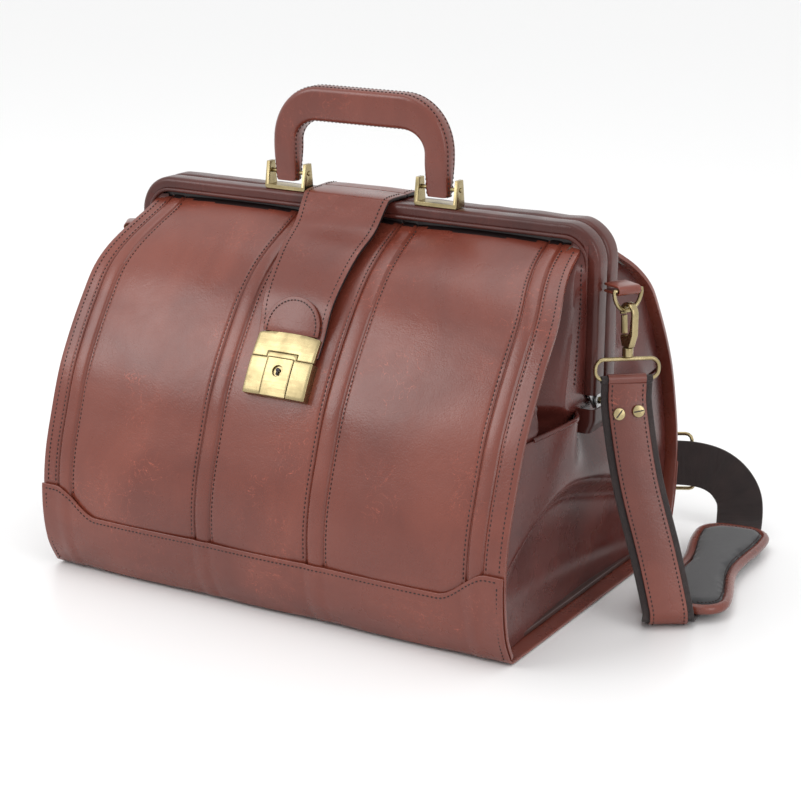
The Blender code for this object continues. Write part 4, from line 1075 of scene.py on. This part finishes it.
def lock():
    for node, body in (("hasp_plate", "closure_flap"), ("lock_case", BODY), ("lock_slide", "lock_slide")):
        ready(crowned(node, 0.0007, LOCK_CROWN), "antique_brass", body, [node])
    ready(polished("lock_cylinder", 0.0002, BRASS), "antique_brass", "lock_cylinder", ["lock_cylinder"])
    # The keyhole is a dark plug standing just proud of the lock face: black edge paint as painted shade
    # where the hole is.
    key = LOCK @ Vector(KEYHOLE)
    hollow = []
    for radius, centre in ((0.0016, 0.0008), (0.0009, -0.0022)):
        hollow.append([LOCK.to_3x3() @ Vector((radius * math.cos(a), centre + radius * math.sin(a), 0))
                       for a in (2 * math.pi * k / 16 for k in range(16))])
    bm = bmesh.new()
    out = LOCK.to_3x3() @ Vector((0, 0, 1))
    for ring in hollow:
        bm.faces.new([bm.verts.new(key + p + out * KEYHOLE_PROUD) for p in ring])
    ends = [(-0.0006, 0.0005), (0.0006, 0.0005), (0.0009, -0.0024), (-0.0009, -0.0024)]
    slot = [key + LOCK.to_3x3() @ Vector((x, y, 0)) + out * KEYHOLE_PROUD for x, y in ends]
    bm.faces.new([bm.verts.new(p) for p in slot[::-1]])
    solid = bmesh.ops.extrude_face_region(bm, geom=bm.faces[:])
    sunk = [g for g in solid["geom"] if isinstance(g, bmesh.types.BMVert)]
    bmesh.ops.translate(bm, verts=sunk, vec=out * -KEYHOLE_T)
    bmesh.ops.recalc_face_normals(bm, faces=bm.faces)
    ready(made("keyhole_shade", bm, [EDGE_PAINT_AND_SHADE]), "antique_brass", "lock_cylinder")


# ---- metal fittings ----
def fittings():
    for side in ("right", "left"):
        for node, ease in ((f"handle_post_{side}", 0.0007), (f"hinge_plate_front_{side}", 0.0003),
                           (f"hinge_plate_back_{side}", 0.0003), (f"hinge_pin_{side}", 0.0003),
                           (f"handle_pin_{side}", 0.0003)):
            steel = node.startswith("hinge_plate")
            piece = polished(node, ease, STEEL if steel else BRASS)
            ready(piece, "steel" if steel else "antique_brass", body_of(node), [node])


def ring_frame(hand):
    bar = Vector((math.sin(RING_TURN), math.cos(RING_TURN), 0))
    out = Vector((math.cos(RING_TURN), -math.sin(RING_TURN), 0))
    seat = Matrix(((bar.x, out.x, 0, RING_X), (bar.y, out.y, 0, RING_Y), (0, 0, 1, RING_Z), (0, 0, 0, 1)))
    return seat if hand > 0 else Matrix.Diagonal((-1, 1, 1, 1)) @ seat


def turn_over(name, hang, width, inner, outer, look, slot):
    """The strap's end turned over the lower bar of its loop."""
    bar = -LOOP_HEIGHT + 2 * LOOP_WIRE_R
    near, far = LOOP_WIRE_R + inner, LOOP_WIRE_R + outer

    def ring(spot):
        corners = ((-0.5, near), (0.5, near), (0.5, far), (-0.5, far))
        return [hang @ Vector((u * width, *spot(r))) for u, r in corners]
    arc = [math.radians(15 * k) for k in range(13)]
    rings = [ring(lambda r: (bar - TURN_TAIL, r - TURN_PINCH))]
    rings += [ring(lambda r, a=a: (bar + r * math.sin(a), r * math.cos(a))) for a in arc]
    rings.append(ring(lambda r: (bar - TURN_TAIL, TURN_PINCH - r)))
    return ready(tube(name, rings, [look]), slot, BODY)


def strap_fittings(hand, side_name):
    """D-ring in its rolled leather loop, snap hook, swivel and wire loop."""
    seat = ring_frame(hand)
    half, drop = RING_WIDTH / 2 - RING_WIRE_R, RING_DROP - RING_WIRE_R
    turns = [math.pi * k / 30 for k in range(31)]
    bow = [Vector((half * math.cos(turn), 0, -drop * math.sin(turn))) for turn in turns]
    bow += [Vector((-half + 2 * half * k / 10, 0, 0)) for k in range(1, 10)]
    ring = wire(f"ring_{side_name}", [seat @ p for p in bow], RING_WIRE_R, [BRASS])
    ready(ring, "antique_brass", f"d_ring_{side_name}", [f"d_ring_{side_name}"])

    loop = polished(f"ring_tab_{side_name}", 0.0007, HIDE)
    ready(loop, "leather", BODY, [f"ring_tab_{side_name}"])

    hook = polished(f"snap_hook_{side_name}", 0.0011, BRASS, 4, 35.0)
    ready(hook, "antique_brass", f"snap_hook_{side_name}", [f"snap_hook_{side_name}"])
    gate = polished(f"hook_gate_{side_name}", 0.0005, BRASS)
    ready(gate, "antique_brass", f"hook_gate_{side_name}", [f"hook_gate_{side_name}"])

    axis = seat @ Vector((0, HOOK_SHIFT, 0))
    hang = Matrix(((math.cos(HANG_TURN), 0, math.sin(HANG_TURN), 0),
                   (math.sin(HANG_TURN), 0, -math.cos(HANG_TURN), 0), (0, 1, 0, 0), (0, 0, 0, 1)))
    if hand < 0:
        hang = Matrix.Diagonal((-1, 1, 1, 1)) @ hang
    hang = Matrix.Translation((axis.x, axis.y, RING_Z - HOOK_DROP)) @ hang
    eye = rounded_outline(-LOOP_WIDTH / 2 + LOOP_WIRE_R, LOOP_WIDTH / 2 - LOOP_WIRE_R,
                          -LOOP_HEIGHT + 2 * LOOP_WIRE_R, 0.0, LOOP_CORNER, 8)
    piece = wire(f"strap_loop_{side_name}", [hang @ Vector((x, y, 0)) for x, y in eye], LOOP_WIRE_R, [BRASS])
    ready(piece, "antique_brass", BODY, [f"swivel_loop_{side_name}"])
    barrel = polished(f"swivel_barrel_{side_name}", 0.0006, BRASS)
    ready(barrel, "antique_brass", BODY, [f"swivel_barrel_{side_name}"])

    over = [turn_over(f"strap_turn_{side_name}", hang, STRAP_WIDTH, 0.0002, 0.0012, WEBBING, "webbing")]
    if hand > 0:
        over.append(turn_over("strap_turn_leather", hang, OVERLAY_WIDTH, 0.00125, 0.0024, HIDE, "leather"))
    return piece, barrel, hook, gate, *over


# ---- shoulder strap ----
def smooth_route(steps):
    places = [Vector(p) for p, _ in ROUTE]
    widths = [Vector(w).normalized() for _, w in ROUTE]
    path = smooth_line(places, steps)
    out = []
    for k, place in enumerate(path):
        at = min(k // steps, len(widths) - 2)
        share = smoothstep((k - at * steps) / steps)
        out.append((place, widths[at].lerp(widths[at + 1], share)))
    return out


def strap_band(name, start, end, width, thickness, lift, looks, sag=0.0):
    """A flat band along the route with soft edges. Returns the piece and its stitch lines."""
    route = smooth_route(ROUTE_STEPS)
    length, rings, lines, centres = 0.0, [], ([], []), []
    for k, (place, across) in enumerate(route):
        before, after = route[max(0, k - 1)][0], route[min(len(route) - 1, k + 1)][0]
        if k:
            length += (place - before).length
        if not start <= length <= end:
            continue
        ahead = (after - before).normalized()
        across = (across - ahead * across.dot(ahead)).normalized()
        out = ahead.cross(across)
        wave = sag * noise.noise(Vector((length * 16.0, lift * 900.0, 0.0)))
        centre = place + out * (lift + wave)
        centres.append(place)
        section = rounded_outline(-width / 2, width / 2, -thickness / 2, thickness / 2, thickness * 0.42, 3)
        rings.append([centre + across * a + out * b for a, b in section])
        for line, side in zip(lines, (-1, 1)):
            inset = width / 2 - STRAP_ROW
            face = math.copysign(thickness / 2, lift) if lift else thickness / 2
            line.append((centre + across * side * inset + out * face, out * math.copysign(1.0, lift or 1.0)))
    return tube(name, rings, looks, sharp=50.0), lines, centres


def slot_screw(node, turn):
    """A domed screw head; its slot is not cut but a thin box of black edge paint sunk into the head, painted
    shade.
    """
    piece = polished(node, 0.0006, BRASS)
    low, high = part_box(node)
    centre = (Vector(low) + Vector(high)) / 2
    bm = bmesh.new()
    bm.from_mesh(piece.data)
    biggest = sorted(bm.faces, key=lambda f: f.calc_area())[-2:]
    face = max(biggest, key=lambda f: f.normal.dot(Vector((0.6, -0.8, 0.0))))
    normal, middle = face.normal.copy(), face.calc_center_median()
    bm.free()
    side = normal.cross(Vector((0, 0, 1))).normalized()
    side = Matrix.Rotation(turn, 3, normal) @ side
    other = normal.cross(side)
    reach = (Vector(high) - Vector(low)).length * SLOT_REACH
    # The slot: a dark box of edge paint, painted shade where the cut would be.
    slot_shade = bmesh.new()
    corners = [(-reach, -SLOT_HALF), (reach, -SLOT_HALF), (reach, SLOT_HALF), (-reach, SLOT_HALF)]
    rim = [middle + side * a + other * b + normal * 0.00006 for a, b in corners]
    slot = slot_shade.faces.new([slot_shade.verts.new(p) for p in rim])
    solid = bmesh.ops.extrude_face_region(slot_shade, geom=[slot])
    bmesh.ops.translate(slot_shade, verts=[g for g in solid["geom"] if isinstance(g, bmesh.types.BMVert)],
                        vec=normal * -SLOT_DEEP)
    bmesh.ops.recalc_face_normals(slot_shade, faces=slot_shade.faces)
    joined(piece, made(f"{node}_slot", slot_shade, [EDGE_PAINT_AND_SHADE]))
    return ready(piece, "antique_brass", BODY, [node])


def pad_outline(grow=0.0, arcs=6):
    near, waist, far = PAD_NEAR / 2, PAD_WAIST / 2, PAD_FAR / 2
    corner = PAD_CORNER

    def arc(cx, cy, start):
        turns = [math.radians(start + 90 * k / arcs) for k in range(arcs + 1)]
        return [(cx + (corner + grow) * math.cos(a), cy + (corner + grow) * math.sin(a)) for a in turns]
    middle = []
    for k in range(1, 16):
        y = corner + (PAD_LENGTH - 2 * corner) * k / 16
        wide = near + (far - near) * k / 16
        middle.append((wide + (waist - wide) * math.sin(math.pi * k / 16) ** 2 + grow, y))
    half = arc(near - corner, corner, -90) + middle + arc(far - corner, PAD_LENGTH - corner, 0)
    return half + [(-x, y) for x, y in reversed(half)]


def swollen(piece):
    """Blows the pad up with a cloth simulation, a little at a time, and keeps the result."""
    remesh = piece.modifiers.new("Remesh", "REMESH")
    remesh.mode, remesh.voxel_size = "VOXEL", PAD_VOXEL
    settle(piece)
    rest = [v.co.copy() for v in piece.data.vertices]
    cloth = piece.modifiers.new("Cloth", "CLOTH")
    cloth.settings.use_pressure = True
    cloth.settings.uniform_pressure_force = 4.0
    cloth.settings.effector_weights.gravity = 0.0
    cloth.settings.quality = 6
    scene = bpy.context.scene
    for number in range(1, 21):
        scene.frame_set(number)
    settle(piece)
    scene.frame_set(1)
    for vert, start in zip(piece.data.vertices, rest):
        move = vert.co - start
        if move.length > PAD_SWELL:
            vert.co = start + move.normalized() * PAD_SWELL
        vert.co.z = max(vert.co.z, PAD_LOW)
    finer = piece.modifiers.new("Finer", "SUBSURF")
    finer.levels = finer.render_levels = 1
    return settle(piece)


def shoulder_pad():
    """Contoured pad: felt face up, rolled leather rim with a seam inside it."""
    seat = Matrix.Translation((*PAD_START, 0)) @ Matrix.Rotation(PAD_DIRECTION, 4, "Z")
    low, high = PAD_LOW + PAD_EASE, PAD_LOW + PAD_T - PAD_EASE
    bm = bmesh.new()
    face = bm.faces.new([bm.verts.new(seat @ Vector((x, y, low))) for x, y in pad_outline(-PAD_INSET)])
    raised = bmesh.ops.extrude_face_region(bm, geom=[face])
    bmesh.ops.translate(bm, verts=[g for g in raised["geom"] if isinstance(g, bmesh.types.BMVert)],
                        vec=(0, 0, high - low))
    bmesh.ops.recalc_face_normals(bm, faces=bm.faces)
    piece = swollen(made("pad_cushion", bm, [FELT], 60.0))
    piece.data.shade_smooth()
    ready(piece, "felt", BODY, ["shoulder_pad"])
    edge = [seat @ Vector((x, y, PAD_LOW + PAD_RIM_Z)) for x, y in pad_outline(-PAD_RIM_IN)]
    rim = wire("pad_rim", edge, PAD_RIM_R, [HIDE])
    ready(rim, "leather", BODY)
    seam = [(seat @ Vector((x, y, PAD_LOW + PAD_SEAM_Z)), Vector((0, 0, 1)))
            for x, y in pad_outline(-PAD_SEAM_IN)]
    thread = stitches("pad_stitches", [seam + seam[:1]], "felt", BODY, pitch=PAD_PITCH)
    return piece, rim, thread


def shoulder_strap():
    pieces = []
    strap, _, centres = strap_band("strap_webbing", 0.0, 9.0, STRAP_WIDTH, STRAP_T, 0.0, [WEBBING])
    ready(strap, "webbing", BODY, ["shoulder_strap"])
    lift = (STRAP_T + OVERLAY_T) / 2 + OVERLAY_GAP
    for name, span, look, slot, node in (
            ("strap_front_leather", (0.0, OVERLAY_END), HIDE, "leather", "strap_leather_front"),
            ("strap_rear_leather", REAR_TAB, DARK_HIDE, "dark_leather", "strap_leather_rear")):
        piece, lines, _ = strap_band(name, *span, OVERLAY_WIDTH, OVERLAY_T, lift, [look], 0.0002)
        stitches(f"{name}_stitches", lines, slot, onto=piece)
        pieces.append(ready(piece, slot, BODY, [node]))
    for number, turn in ((1, 0.9), (2, 0.15), (3, 0.0), (4, 0.0)):
        pieces.append(slot_screw(f"strap_screw_{number}", turn))
    buckle = polished("buckle_frame", 0.0002, BRASS)
    ready(buckle, "antique_brass", BODY, ["buckle_frame"])
    prong = polished("buckle_prong", 0.0004, BRASS)
    ready(prong, "antique_brass", "buckle_prong", ["buckle_prong"])
    pieces += [buckle, prong]
    return strap, centres, pieces


def inside():
    """Lining pocket and base board."""
    for node, look, slot, ease in (("inner_pocket", LINING, "lining", 0.0003),
                                   ("base_board", DARK_HIDE, "board", 0.001),
                                   ("lock_back_plate", STEEL, "steel", 0.0003)):
        ready(polished(node, ease, look), slot, BODY, [node])


# ---- stage ----
def camera():
    turn, rise, roll = VIEW_TURN, VIEW_RISE, VIEW_ROLL
    back = Vector((math.sin(turn) * math.cos(rise), -math.cos(turn) * math.cos(rise), math.sin(rise)))
    right = Vector((math.cos(turn), math.sin(turn), 0))
    up = back.cross(right)
    right, up = right * math.cos(roll) + up * math.sin(roll), up * math.cos(roll) - right * math.sin(roll)
    place = Vector(VIEW_TARGET) + back * VIEW_DISTANCE
    data = bpy.data.cameras.new("view")
    data.lens, data.sensor_width = VIEW_LENS, 36.0
    data.clip_start, data.clip_end = 0.05, 100.0
    eye = bpy.data.objects.new("view", data)
    bpy.context.scene.collection.objects.link(eye)
    eye.matrix_world = Matrix(((right.x, up.x, back.x, place.x), (right.y, up.y, back.y, place.y),
                               (right.z, up.z, back.z, place.z), (0, 0, 0, 1)))
    bpy.context.scene.camera = eye


def softbox(name, place, target, size, power, colour=(1.0, 1.0, 1.0)):
    data = bpy.data.lights.new(name, "AREA")
    data.shape, data.size, data.size_y, data.energy, data.color = "RECTANGLE", *size, power, colour
    lamp = bpy.data.objects.new(name, data)
    bpy.context.scene.collection.objects.link(lamp)
    lamp.location = place
    lamp.rotation_euler = (Vector(target) - Vector(place)).to_track_quat("-Z", "Y").to_euler()


def stage():
    bm = bmesh.new()
    bmesh.ops.create_grid(bm, x_segments=1, y_segments=1, size=20.0)
    bmesh.ops.translate(bm, verts=bm.verts, vec=(0, 0, -0.0006))
    n = Nodes("pale_floor")
    floor = made("floor", bm, [n.set(Base_Color=(0.90, 0.90, 0.90), Roughness=0.34)])
    bpy.context.scene.view_settings.view_transform = "Standard"
    world = bpy.data.worlds.new("studio")
    bpy.context.scene.world = world
    world.use_nodes = True
    world.node_tree.nodes["Background"].inputs["Color"].default_value = (1.0, 1.0, 1.0, 1.0)
    world.node_tree.nodes["Background"].inputs["Strength"].default_value = 1.0
    softbox("key", (-1.5, -1.7, 1.7), (0, 0, 0.15), (1.5, 1.3), 20.0)
    softbox("top", (-0.1, -0.1, 2.0), (0, 0, 0.1), (1.6, 1.2), 8.0)
    softbox("right", (2.0, -0.7, 1.0), (0.1, 0, 0.12), (0.7, 1.4), 9.0)


camera()
stage()
strap, centres, strap_pieces = shoulder_strap()
on_strap = list(strap_pieces) + list(shoulder_pad())
for hand, side_name in ((1, "right"), (-1, "left")):
    on_strap += strap_fittings(hand, side_name)
tuple(centres[0])
[tuple(p) for p in centres]
wall(-1, "front_wall", ["front_panel"])
wall(1, "back_wall", ["back_panel_lower", "back_panel_upper"], BACK_BEND)
base_cover()
for hand, side_name in ((1, "right"), (-1, "left")):
    gusset(hand, side_name)
jaw("front", -1, BODY)
jaw("back", 1, BACK_JAW)
handle()
flap()
half_round_tab()
lock()
fittings()
inside()
